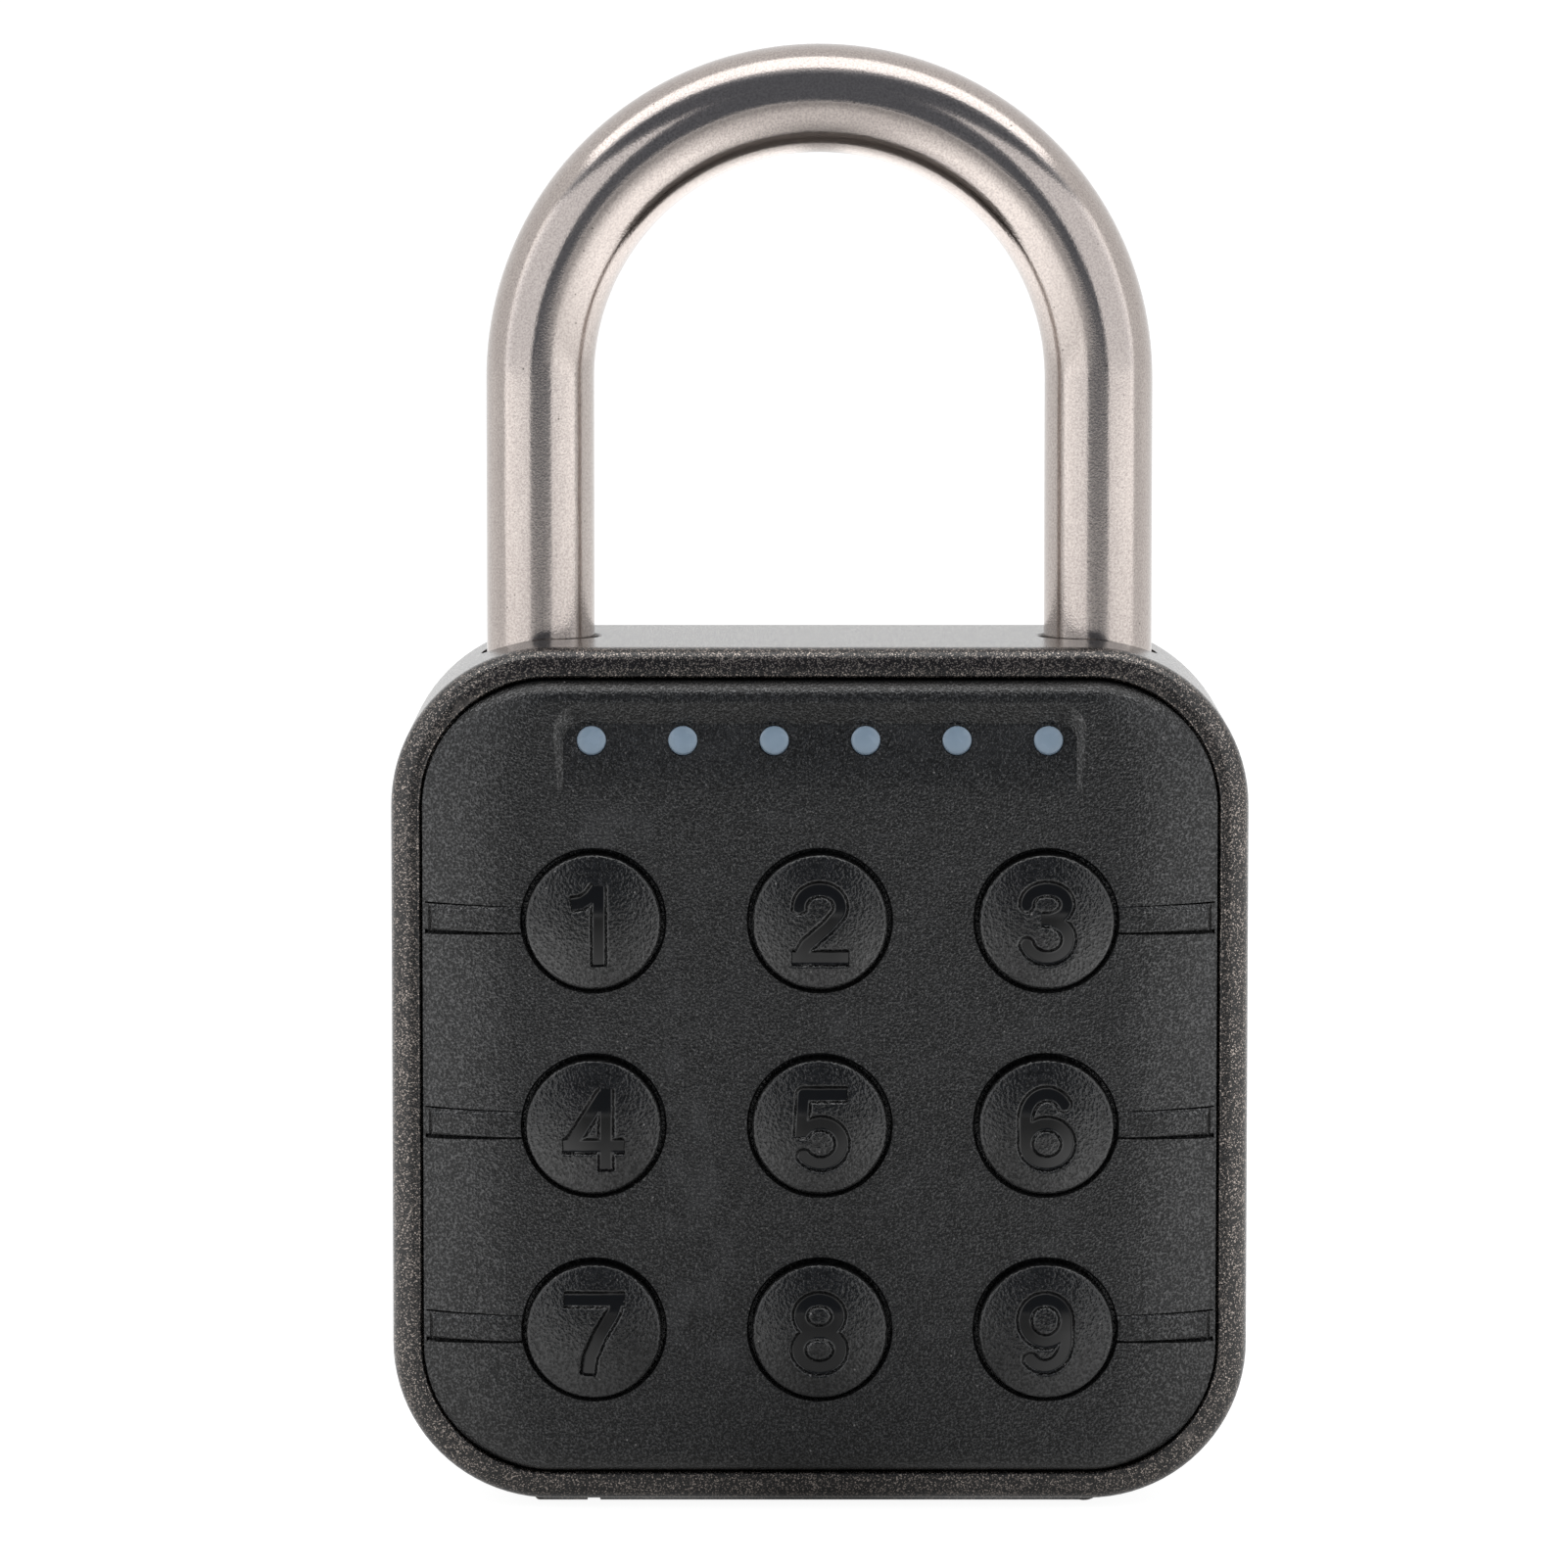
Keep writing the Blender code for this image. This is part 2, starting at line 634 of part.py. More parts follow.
def ring_cutter(name, profile, leg_x):
    """A ring turned round a shackle leg from (radius, height) pairs."""
    rings = []
    for radius, height in profile:
        ring = []
        for step in range(2 * ROUND_STEPS):
            angle = math.pi * step / ROUND_STEPS
            x = leg_x + radius * math.cos(angle)
            ring.append((x, depth_y(LEG_DEPTH) + radius * math.sin(angle), height))
        rings.append(ring)
    return hollow_loft(name, rings)


def screw_socket(name, head, radius=DRIVER_SOCKET_RADIUS):
    """A hexagonal driver socket sunk into a screw's head, which faces a depth."""
    x, depth, z = head
    start = (x, depth_y(depth) - OVERRUN, z)
    end = (x, depth_y(depth) + DRIVER_SOCKET_DEPTH, z)
    return rod(name, start, end, radius, sides=DRIVER_SOCKET_SIDES)


def make_body_shell():
    """The die-cast cup: back wall, side walls with a rounded rim, and a ledge inside."""
    rings = []
    for step in range(FILLET_STEPS + 1):
        angle = math.radians(90 * step / FILLET_STEPS)
        rings.append(
            shell_ring(
                BACK_ROUND * (1 - math.sin(angle)),
                SHELL_DEPTH - BACK_ROUND * (1 - math.cos(angle)),
            )
        )
    for step in range(FILLET_STEPS + 1):
        angle = math.radians(90 * step / FILLET_STEPS)
        rings.append(
            shell_ring(
                RIM_OUTER_ROUND * (1 - math.cos(angle)),
                RIM_OUTER_ROUND * (1 - math.sin(angle)),
            )
        )
    for step in range(FILLET_STEPS + 1):
        angle = math.radians(90 * step / FILLET_STEPS)
        rings.append(
            shell_ring(
                SHELL_WALL - RIM_INNER_ROUND * (1 - math.sin(angle)),
                RIM_INNER_ROUND * (1 - math.cos(angle)),
            )
        )
    rings.append(shell_ring(SHELL_WALL, LEDGE_DEPTH))
    rings.append(shell_ring(SHELL_WALL + LEDGE_WIDTH, LEDGE_DEPTH))
    rings.append(shell_ring(SHELL_WALL + LEDGE_WIDTH, SHELL_DEPTH - SHELL_BACK))
    shell = loft("body_shell", rings, PAINT)
    for side in (-1, 1):
        leg = (side * LEG_X, depth_y(LEG_DEPTH))
        hole = rod(
            "shell_leg_hole",
            (*leg, CASE_TOP - OVERRUN),
            (*leg, SHELL_TOP + OVERRUN),
            LEG_HOLE_RADIUS,
            sides=2 * ROUND_STEPS,
        )
        boolean(shell, hole)
    opening = block(
        "door_opening",
        (-DOOR_RIGHT - GAP, depth_y(DOOR_FROM_RIM - GAP), -OVERRUN),
        (DOOR_RIGHT + GAP, depth_y(DOOR_BACK_DEPTH + GAP), CASE_BOTTOM + OVERRUN),
    )
    boolean(shell, opening)
    boolean(shell, hinge_rod("hinge_pin_hole", HINGE_PIN_RADIUS + PIN_GAP, PIN_GAP))
    for index, (x, z) in enumerate(case_screw_places()):
        blind = rod(
            f"shell_screw_hole_{index}",
            (x, depth_y(CASE_BACK_DEPTH), z),
            (x, depth_y(SHELL_DEPTH - SHELL_BACK + CASE_SCREW_BITE + PIN_GAP), z),
            CASE_SCREW_RADIUS + PIN_GAP,
        )
        boolean(shell, blind)
    for index, (side, middle) in enumerate(clip_places()):
        boolean(shell, clip_block(f"clip_recess_{index}", side, middle, GAP))
    return set_origin(smooth_by_angle(shell), (0, depth_y(SHELL_DEPTH / 2), MIDDLE_Z))


def clip_places():
    return [
        (side, MIDDLE_Z + half * CLIP_SPACING / 2) for side in (-1, 1) for half in (-1, 1)
    ]


def clip_block(name, side, middle, grow):
    """A clip on the panel's side, or its recess in the shell when it is grown by a gap."""
    near = PANEL_HALF_WIDTH - CLIP_REACH
    far = PANEL_HALF_WIDTH + CLIP_REACH + grow
    front = PANEL_SKIRT_DEPTH - SEAT_GAP - CLIP_THICKNESS - grow
    back = PANEL_SKIRT_DEPTH - SEAT_GAP + grow
    low_x, high_x = sorted((side * near, side * far))
    return block(
        name,
        (low_x, depth_y(front), middle - CLIP_LENGTH / 2 - grow),
        (high_x, depth_y(back), middle + CLIP_LENGTH / 2 + grow),
    )


def case_screw_places():
    low = MOTOR_BOTTOM_Z + CASE_SCREW_RISE
    high = MOTOR_TOP_Z - CASE_SCREW_RISE
    return [(side * CASE_SCREW_X, z) for z in (low, high) for side in (-1, 1)]


def button_places():
    """Number, x and z of each button, from the top left."""
    places = []
    for row in range(BUTTON_ROWS):
        for column in range(BUTTON_COLUMNS):
            x = (column - (BUTTON_COLUMNS - 1) / 2) * BUTTON_PITCH_X
            z = BUTTON_MIDDLE_Z - (row - (BUTTON_ROWS - 1) / 2) * BUTTON_PITCH_Z
            places.append((row * BUTTON_COLUMNS + column + 1, x, z))
    return places


def lamp_places():
    middle = (LAMP_COUNT - 1) / 2
    return [((index - middle) * LAMP_PITCH, LAMP_Z) for index in range(LAMP_COUNT)]


def board_screw_places():
    half_x, half_z = BUTTON_PITCH_X / 2, BUTTON_PITCH_Z / 2
    return [
        (-half_x, BUTTON_MIDDLE_Z - half_z),
        (half_x, BUTTON_MIDDLE_Z + half_z),
    ]


def side_roll_inset(drop):
    """How far from the panel's side the rolled face has fallen by a drop."""
    return PANEL_SIDE_ROLL - math.sqrt(max(0.0, drop * (2 * SIDE_ARC_RADIUS - drop)))


def end_roll_inset(drop):
    """The same for the tight rounding along the panel's top and bottom."""
    share = 1 - drop / PANEL_RISE
    return PANEL_END_ROLL * (1 - math.sqrt(max(0.0, 1 - share**2)))


def side_roll_drop(inset):
    """How far the rolled face has fallen at a distance in from the panel's side."""
    reach = max(0.0, PANEL_SIDE_ROLL - inset)
    return SIDE_ARC_RADIUS - math.sqrt(SIDE_ARC_RADIUS**2 - reach**2)


def make_rib(side, row, z):
    """A bar from the button hole to the panel's side, prouder and narrower as it goes out."""
    inner = BUTTON_PITCH_X + BUTTON_RADIUS
    outer = PANEL_HALF_WIDTH - RIB_OUTER_FROM_EDGE
    rings = []
    for step in range(RIB_STEPS + 1):
        share = step / RIB_STEPS
        x = inner + (outer - inner) * share
        foot_x = x + RIB_END_SLOPE if step == RIB_STEPS else x
        rise = RIB_INNER_RISE + (RIB_OUTER_RISE - RIB_INNER_RISE) * share
        half = (RIB_INNER_HEIGHT + (RIB_OUTER_HEIGHT - RIB_INNER_HEIGHT) * share) / 2
        top = depth_y(side_roll_drop(PANEL_HALF_WIDTH - x) - rise - PANEL_PROUD)
        foot = top + RIB_ROOT
        wide = half + RIB_ROOT
        rings.append(
            [
                (side * x, top, z - half),
                (side * x, top, z + half),
                (side * foot_x, foot, z + wide),
                (side * foot_x, foot, z - wide),
            ]
        )
    side_name = "left" if side < 0 else "right"
    return loft(f"rib_{side_name}_{row}", rings)


def make_pocket_cutter():
    """The indicator pocket: deep under its sloped top wall, running out below."""
    front = -PANEL_PROUD
    run_out = POCKET_DEPTH / (POCKET_HEIGHT - POCKET_TOP_SLOPE)
    steep = POCKET_DEPTH / POCKET_TOP_SLOPE
    outline = [
        (depth_y(front - OVERRUN), POCKET_TOP_Z + OVERRUN / steep),
        (depth_y(front + POCKET_DEPTH), POCKET_TOP_Z - POCKET_TOP_SLOPE),
        (depth_y(front - OVERRUN), POCKET_BOTTOM_Z - OVERRUN / run_out),
    ]
    lip = POCKET_HALF_WIDTH + POCKET_SIDE_SLOPE * OVERRUN / POCKET_DEPTH
    half_widths = (lip, POCKET_HALF_WIDTH - POCKET_SIDE_SLOPE, lip)
    bm = bmesh.new()
    ends = []
    for side in (-1, 1):
        points = [(side * half, y, z) for half, (y, z) in zip(half_widths, outline)]
        ends.append([bm.verts.new(point) for point in points])
        bm.faces.new(ends[-1])
    for index in range(len(outline)):
        after = (index + 1) % len(outline)
        bm.faces.new((ends[0][index], ends[0][after], ends[1][after], ends[1][index]))
    return mesh_object("pocket_cutter", bm)


def make_front_panel():
    """The moulded panel: a pillow front, a skirt behind it, ribs, holes and pocket."""
    rings = [
        panel_ring(PANEL_SKIRT_WALL, PANEL_SKIRT_WALL, CEILING_DEPTH),
        panel_ring(PANEL_SKIRT_WALL, PANEL_SKIRT_WALL, PANEL_SKIRT_DEPTH),
        panel_ring(0, 0, PANEL_SKIRT_DEPTH),
    ]
    for step in range(PANEL_ROLL_STEPS + 1):
        angle = math.radians(90 * step / PANEL_ROLL_STEPS)
        drop = PANEL_RISE * (1 - math.sin(angle))
        depth = drop - PANEL_PROUD
        rings.append(panel_ring(side_roll_inset(drop), end_roll_inset(drop), depth))
    panel = loft("front_panel", rings, PANEL_PLASTIC)
    for side in (-1, 1):
        for row in range(BUTTON_ROWS):
            z = BUTTON_MIDDLE_Z - (row - (BUTTON_ROWS - 1) / 2) * BUTTON_PITCH_Z
            boolean(panel, make_rib(side, row, z), "UNION")
    for index, (side, middle) in enumerate(clip_places()):
        boolean(panel, clip_block(f"clip_{index}", side, middle, 0.0), "UNION")
    for index, (x, z) in enumerate(board_screw_places()):
        boss = rod(
            f"board_boss_{index}",
            (x, depth_y(CEILING_DEPTH - PANEL_THICKNESS / 2), z),
            (x, depth_y(BOARD_DEPTH - SEAT_GAP), z),
            BOSS_RADIUS,
        )
        boolean(panel, boss, "UNION")
    for number, x, z in button_places():
        hole = rod(
            f"button_hole_{number}",
            (x, depth_y(-PANEL_PROUD - OVERRUN), z),
            (x, depth_y(CEILING_DEPTH + OVERRUN), z),
            BUTTON_RADIUS + BUTTON_HOLE_GAP,
            sides=ROUND_STEPS,
        )
        boolean(panel, hole)
    boolean(panel, make_pocket_cutter())
    for index, (x, z) in enumerate(lamp_places()):
        hole = rod(
            f"lamp_hole_{index}",
            (x, depth_y(-PANEL_PROUD - OVERRUN), z),
            (x, depth_y(CEILING_DEPTH + OVERRUN), z),
            GUIDE_POST_RADIUS + GUIDE_POST_GAP,
            sides=ROUND_STEPS // 2,
        )
        boolean(panel, hole)
    for index, (x, z) in enumerate(board_screw_places()):
        bore = rod(
            f"boss_bore_{index}",
            (x, depth_y(BOARD_DEPTH - BOARD_SCREW_BITE - PIN_GAP), z),
            (x, depth_y(BOARD_DEPTH + OVERRUN), z),
            BOARD_SCREW_RADIUS + PIN_GAP,
            sides=ROUND_STEPS // 2,
        )
        boolean(panel, bore)
    return set_origin(smooth_by_angle(panel), (0, depth_y(-PANEL_PROUD), MIDDLE_Z))


def make_gasket():
    """The seal between the panel's skirt and the shell's ledge."""
    front = PANEL_SKIRT_DEPTH + SEAT_GAP
    back = LEDGE_DEPTH - SEAT_GAP
    inner = GAP + GASKET_WIDTH
    rings = [
        panel_ring(GAP, GAP, front),
        panel_ring(GAP, GAP, back),
        panel_ring(inner, inner, back),
        panel_ring(inner, inner, front),
    ]
    return set_origin(hollow_loft("panel_gasket", rings, RUBBER), (0, depth_y(back), MIDDLE_Z))


def stroke_line(steps):
    """The centre line of one digit stroke in shares, and whether it closes on itself."""
    points = []
    closed = False
    for kind, *values in steps:
        if kind == "point":
            points.append(tuple(values))
            continue
        closed = kind == "ring"
        centre_x, centre_z, radius_x, radius_z = values[:4]
        first, last = (0, 360) if closed else values[4:]
        count = max(2, round(abs(last - first) / DIGIT_ARC_STEP_DEGREES))
        for index in range(count + (not closed)):
            angle = math.radians(first + (last - first) * index / count)
            x = centre_x + radius_x * math.cos(angle)
            points.append((x, centre_z + radius_z * math.sin(angle)))
    return points, closed


def stroke_edges(points, closed, half_width):
    """Left and right edge points of a stroke, mitred at its bends."""
    count = len(points)
    left, right = [], []
    for index, point in enumerate(points):
        before = points[index - 1] if index or closed else point
        after = points[(index + 1) % count] if index < count - 1 or closed else point
        to_here = Vector(point) - Vector(before)
        onwards = Vector(after) - Vector(point)
        to_here = to_here.normalized() if to_here.length else onwards.normalized()
        onwards = onwards.normalized() if onwards.length else to_here
        along = (to_here + onwards).normalized()
        normal = Vector((-along.y, along.x))
        stretch = half_width / max(LEAST_MITRE, along.dot(onwards))
        left.append(Vector(point) + normal * stretch)
        right.append(Vector(point) - normal * stretch)
    return left, right


def make_stroke_cutter(name, steps, middle_x, middle_z, floor_depth):
    shares, closed = stroke_line(steps)
    points = [(x * DIGIT_HEIGHT, z * DIGIT_HEIGHT) for x, z in shares]
    left, right = stroke_edges(points, closed, DIGIT_STROKE / 2)
    bm = bmesh.new()
    rows = []
    for edge in (left, right):
        row = [(middle_x + p.x, depth_y(floor_depth), middle_z + p.y) for p in edge]
        rows.append([bm.verts.new(point) for point in row])
    faces = []
    for index in range(len(points) - (not closed)):
        after = (index + 1) % len(points)
        corners = (rows[0][index], rows[1][index], rows[1][after], rows[0][after])
        faces.append(bm.faces.new(corners))
    grown = bmesh.ops.extrude_face_region(bm, geom=faces)["geom"]
    moved = [item for item in grown if isinstance(item, bmesh.types.BMVert)]
    bmesh.ops.translate(bm, verts=moved, vec=(0, -OVERRUN, 0))
    return mesh_object(name, bm)


def make_button(number, x, z):
    """A domed key with its flange and rear post, and its number cut into the dome."""
    top = BUTTON_PROUD
    crown_radius = BUTTON_RADIUS - BUTTON_EDGE_ROUND
    sphere = (crown_radius**2 + BUTTON_CROWN**2) / (2 * BUTTON_CROWN)
    profile = []
    for step in range(BUTTON_CROWN_STEPS + 1):
        radius = crown_radius * step / BUTTON_CROWN_STEPS
        profile.append((radius, top - sphere + math.sqrt(sphere**2 - radius**2)))
    shoulder = top - BUTTON_CROWN
    half_turn = BUTTON_EDGE_ROUND * (1 - math.cos(math.radians(45)))
    profile.append((BUTTON_RADIUS - half_turn, shoulder - half_turn))
    profile.append((BUTTON_RADIUS, shoulder - BUTTON_EDGE_ROUND))
    flange = -PANEL_PROUD - FLANGE_DEPTH
    flange_back = flange - BUTTON_FLANGE_THICKNESS
    profile.append((BUTTON_RADIUS, flange))
    profile.append((BUTTON_RADIUS + BUTTON_FLANGE_REACH, flange))
    profile.append((BUTTON_RADIUS + BUTTON_FLANGE_REACH, flange_back))
    profile.append((BUTTON_POST_RADIUS, flange_back))
    profile.append((BUTTON_POST_RADIUS, flange_back - BUTTON_POST_LENGTH))
    profile.append((0, flange_back - BUTTON_POST_LENGTH))
    origin = (x, depth_y(-PANEL_PROUD), z)
    button = turned(f"button_{number}", profile, origin, BUTTON_PLASTIC, "FRONT")
    floor = -PANEL_PROUD - BUTTON_PROUD + DIGIT_DEPTH
    for index, steps in enumerate(DIGIT_STROKE_SHARES[number]):
        name = f"digit_{number}_{index}"
        cutter = make_stroke_cutter(name, steps, x, z - DIGIT_BELOW_MIDDLE, floor)
        boolean(button, cutter)
    return button


def make_switch(number, x, z):
    """A tactile switch: its body, with a well for the plunger, and the plunger."""
    half = SWITCH_WIDTH / 2
    body = block(
        f"switch_body_{number}",
        (x - half, depth_y(SWITCH_DEPTH), z - half),
        (x + half, depth_y(SWITCH_DEPTH + SWITCH_HEIGHT), z + half),
        SWITCH_BLACK,
    )
    well = rod(
        f"switch_well_{number}",
        (x, depth_y(SWITCH_DEPTH) - OVERRUN, z),
        (x, depth_y(SWITCH_DEPTH + SWITCH_WELL), z),
        PLUNGER_RADIUS + HOLE_GAP,
        sides=ROUND_STEPS // 2,
    )
    boolean(body, well)
    set_origin(body, (x, depth_y(BOARD_DEPTH), z))
    plunger = rod(
        f"switch_plunger_{number}",
        (x, depth_y(PLUNGER_DEPTH), z),
        (x, depth_y(SWITCH_DEPTH + PLUNGER_HIDDEN), z),
        PLUNGER_RADIUS,
        CHIP_WHITE,
        sides=ROUND_STEPS // 2,
    )
    set_origin(plunger, (x, depth_y(PLUNGER_DEPTH), z))
    return body, plunger


def make_board():
    """The circuit board with its screw holes."""
    half_width = PANEL_HALF_WIDTH - BOARD_MARGIN
    half_height = PANEL_HALF_HEIGHT - BOARD_MARGIN
    rings = [
        rounded_ring(half_width, half_height, BOARD_CORNER, BOARD_CORNER, depth)
        for depth in (BOARD_DEPTH, BOARD_DEPTH + BOARD_THICKNESS)
    ]
    board = loft("circuit_board", rings, BOARD_GREEN)
    for index, (x, z) in enumerate(board_screw_places()):
        hole = rod(
            f"board_hole_{index}",
            (x, depth_y(BOARD_DEPTH) - OVERRUN, z),
            (x, depth_y(BOARD_DEPTH + BOARD_THICKNESS) + OVERRUN, z),
            BOARD_SCREW_RADIUS + PIN_GAP,
            sides=ROUND_STEPS // 2,
        )
        boolean(board, hole)
    return set_origin(board, (0, depth_y(BOARD_DEPTH), MIDDLE_Z))


def make_board_screw(index, x, z):
    """A small screw whose head bears on the back of the board."""
    shank = BOARD_SCREW_BITE + BOARD_THICKNESS + SEAT_GAP
    profile = [
        (0, 0),
        (BOARD_SCREW_RADIUS, 0),
        (BOARD_SCREW_RADIUS, -shank),
        (BOARD_SCREW_HEAD_RADIUS, -shank),
        (BOARD_SCREW_HEAD_RADIUS, -shank - BOARD_SCREW_HEAD),
        (0, -shank - BOARD_SCREW_HEAD),
    ]
    origin = (x, depth_y(BOARD_DEPTH - BOARD_SCREW_BITE), z)
    screw = turned(
        f"board_screw_{index}", profile, origin, STEEL, "FRONT", steps=ROUND_STEPS // 2
    )
    back = depth_y(BOARD_DEPTH - BOARD_SCREW_BITE + shank + BOARD_SCREW_HEAD)
    socket = rod(
        f"board_screw_socket_{index}",
        (x, back - DRIVER_SOCKET_DEPTH, z),
        (x, back + OVERRUN, z),
        DRIVER_SOCKET_RADIUS,
        sides=DRIVER_SOCKET_SIDES,
    )
    return boolean(screw, socket)


def lamp_floor_depth():
    """Depth of the pocket's floor at the lamps."""
    run = POCKET_HEIGHT - POCKET_TOP_SLOPE
    share = (LAMP_Z - POCKET_BOTTOM_Z) / run
    return -PANEL_PROUD + POCKET_DEPTH * min(1.0, share)


def make_light_guide():
    """One moulding: a bar behind the panel with a post through it for each lamp."""
    half = (LAMP_COUNT - 1) / 2 * LAMP_PITCH + GUIDE_BAR_MARGIN
    front = CEILING_DEPTH + GAP
    guide = block(
        "light_guide",
        (-half, depth_y(front), LAMP_Z - GUIDE_BAR_HEIGHT / 2),
        (half, depth_y(front + GUIDE_BAR_THICKNESS), LAMP_Z + GUIDE_BAR_HEIGHT / 2),
        MILKY,
    )
    for index, (x, z) in enumerate(lamp_places()):
        post = rod(
            f"guide_post_{index}",
            (x, depth_y(lamp_floor_depth() - GUIDE_POST_PROUD), z),
            (x, depth_y(front + GUIDE_BAR_THICKNESS + GUIDE_STUB_LENGTH), z),
            GUIDE_POST_RADIUS,
            sides=ROUND_STEPS // 2,
        )
        boolean(guide, post, "UNION")
    return set_origin(guide, (0, depth_y(front), LAMP_Z))


def make_chip(index, x, z):
    back = depth_y(BOARD_DEPTH - SEAT_GAP)
    chip = block(
        f"led_{index}",
        (x - CHIP_WIDTH / 2, back - CHIP_THICKNESS, z - CHIP_HEIGHT / 2),
        (x + CHIP_WIDTH / 2, back, z + CHIP_HEIGHT / 2),
        CHIP_WHITE,
    )
    return set_origin(chip, (x, back, z))


def shackle_path():
    """Centre line from the heel's end, over the arch, to the toe's end."""
    y = depth_y(LEG_DEPTH)
    points = [(-LEG_X, y, HEEL_END_Z), (-LEG_X, y, SHELL_TOP)]
    for step in range(ARCH_STEPS + 1):
        angle = math.radians(180 - 180 * step / ARCH_STEPS)
        points.append((LEG_X * math.cos(angle), y, ARCH_Z + LEG_X * math.sin(angle)))
    points.append((LEG_X, y, SHELL_TOP))
    points.append((LEG_X, y, TOE_END_Z))
    return points


def make_shackle():
    """The bent bar, with a neck in its long heel leg and a notch in its toe leg."""
    shackle = tube("shackle", shackle_path(), SHACKLE_RADIUS, SHACKLE_SIDES_HALF, STAINLESS)
    y = depth_y(LEG_DEPTH)
    wide = SHACKLE_RADIUS + OVERRUN
    neck = [
        (NECK_RADIUS, NECK_BOTTOM_Z),
        (wide, NECK_BOTTOM_Z),
        (wide, NECK_TOP_Z),
        (NECK_RADIUS, NECK_TOP_Z),
    ]
    boolean(shackle, ring_cutter("neck_cutter", neck, -LEG_X))
    face_x = LEG_X - SHACKLE_RADIUS
    notch_top = NOTCH_Z + BOLT_HEIGHT + 2 * GAP
    notch = block(
        "notch_cutter",
        (face_x - OVERRUN, y - wide, NOTCH_Z),
        (face_x + NOTCH_DEPTH, y + wide, notch_top),
    )
    boolean(shackle, notch)
    chamfer = [
        (SHACKLE_RADIUS - TOE_CHAMFER - OVERRUN, TOE_END_Z - OVERRUN),
        (wide, TOE_END_Z - OVERRUN),
        (wide, TOE_END_Z + TOE_CHAMFER + OVERRUN),
    ]
    boolean(shackle, ring_cutter("toe_chamfer_cutter", chamfer, LEG_X))
    return set_origin(smooth_by_angle(shackle), (-LEG_X, y, SHELL_TOP))


def make_heel_pin():
    start = (HEEL_PIN_X, depth_y(CASE_DEPTH + GAP), HEEL_PIN_Z)
    end = (HEEL_PIN_X, depth_y(CASE_BACK_DEPTH - HEEL_PIN_STOP), HEEL_PIN_Z)
    pin = rod("heel_pin", start, end, HEEL_PIN_RADIUS, STEEL, sides=ROUND_STEPS // 2)
    return set_origin(smooth_by_angle(pin), start)


def make_lift_spring():
    """The coil under the heel leg, between the lock case's seat and the leg's end."""
    bottom = SPRING_SEAT_Z + GAP
    top = HEEL_END_Z - GAP
    rise = top - bottom - 2 * SPRING_WIRE
    y = depth_y(LEG_DEPTH)
    count = math.floor(rise / SPRING_PITCH) * SPRING_POINTS_PER_TURN
    points = [(-LEG_X + SPRING_MEAN_RADIUS, y, bottom)]
    for index in range(count + 1):
        angle = math.radians(360 * index / SPRING_POINTS_PER_TURN)
        points.append(
            (
                -LEG_X + SPRING_MEAN_RADIUS * math.cos(angle),
                y + SPRING_MEAN_RADIUS * math.sin(angle),
                bottom + SPRING_WIRE + rise * index / count,
            )
        )
    points.append((points[-1][0], points[-1][1], top))
    curl = points[1:-1]
    least = min(
        (Vector(first) - Vector(second)).length
        for place, first in enumerate(curl)
        for second in curl[place + SPRING_POINTS_PER_TURN // 2 :]
    )
    print(f"lift spring: least gap to itself {(least - SPRING_WIRE) * 1000:.2f} mm")
    spring = tube("lift_spring", points, SPRING_WIRE / 2, SPRING_SIDES_HALF, STEEL)
    return set_origin(spring, (-LEG_X, y, SPRING_SEAT_Z))


def rack_tooth_outline(middle_x, root_depth, tip_depth, pitch_depth):
    """A straight-flanked rack tooth in the plane seen from above, with a deep root."""
    slope = math.tan(math.radians(TOOTH_PRESSURE_DEGREES))
    half_pitch = TOOTH_MODULE * (math.pi / 4 - TOOTH_BACKLASH_SHARE / 4)
    points = []
    for depth in (root_depth - TOOTH_MODULE, root_depth, tip_depth):
        half = half_pitch - (max(depth, root_depth) - pitch_depth) * slope
        points.append((half, depth))
    right = [(middle_x + half, depth_y(depth)) for half, depth in points]
    left = [(middle_x - half, depth_y(depth)) for half, depth in reversed(points)]
    return right + left


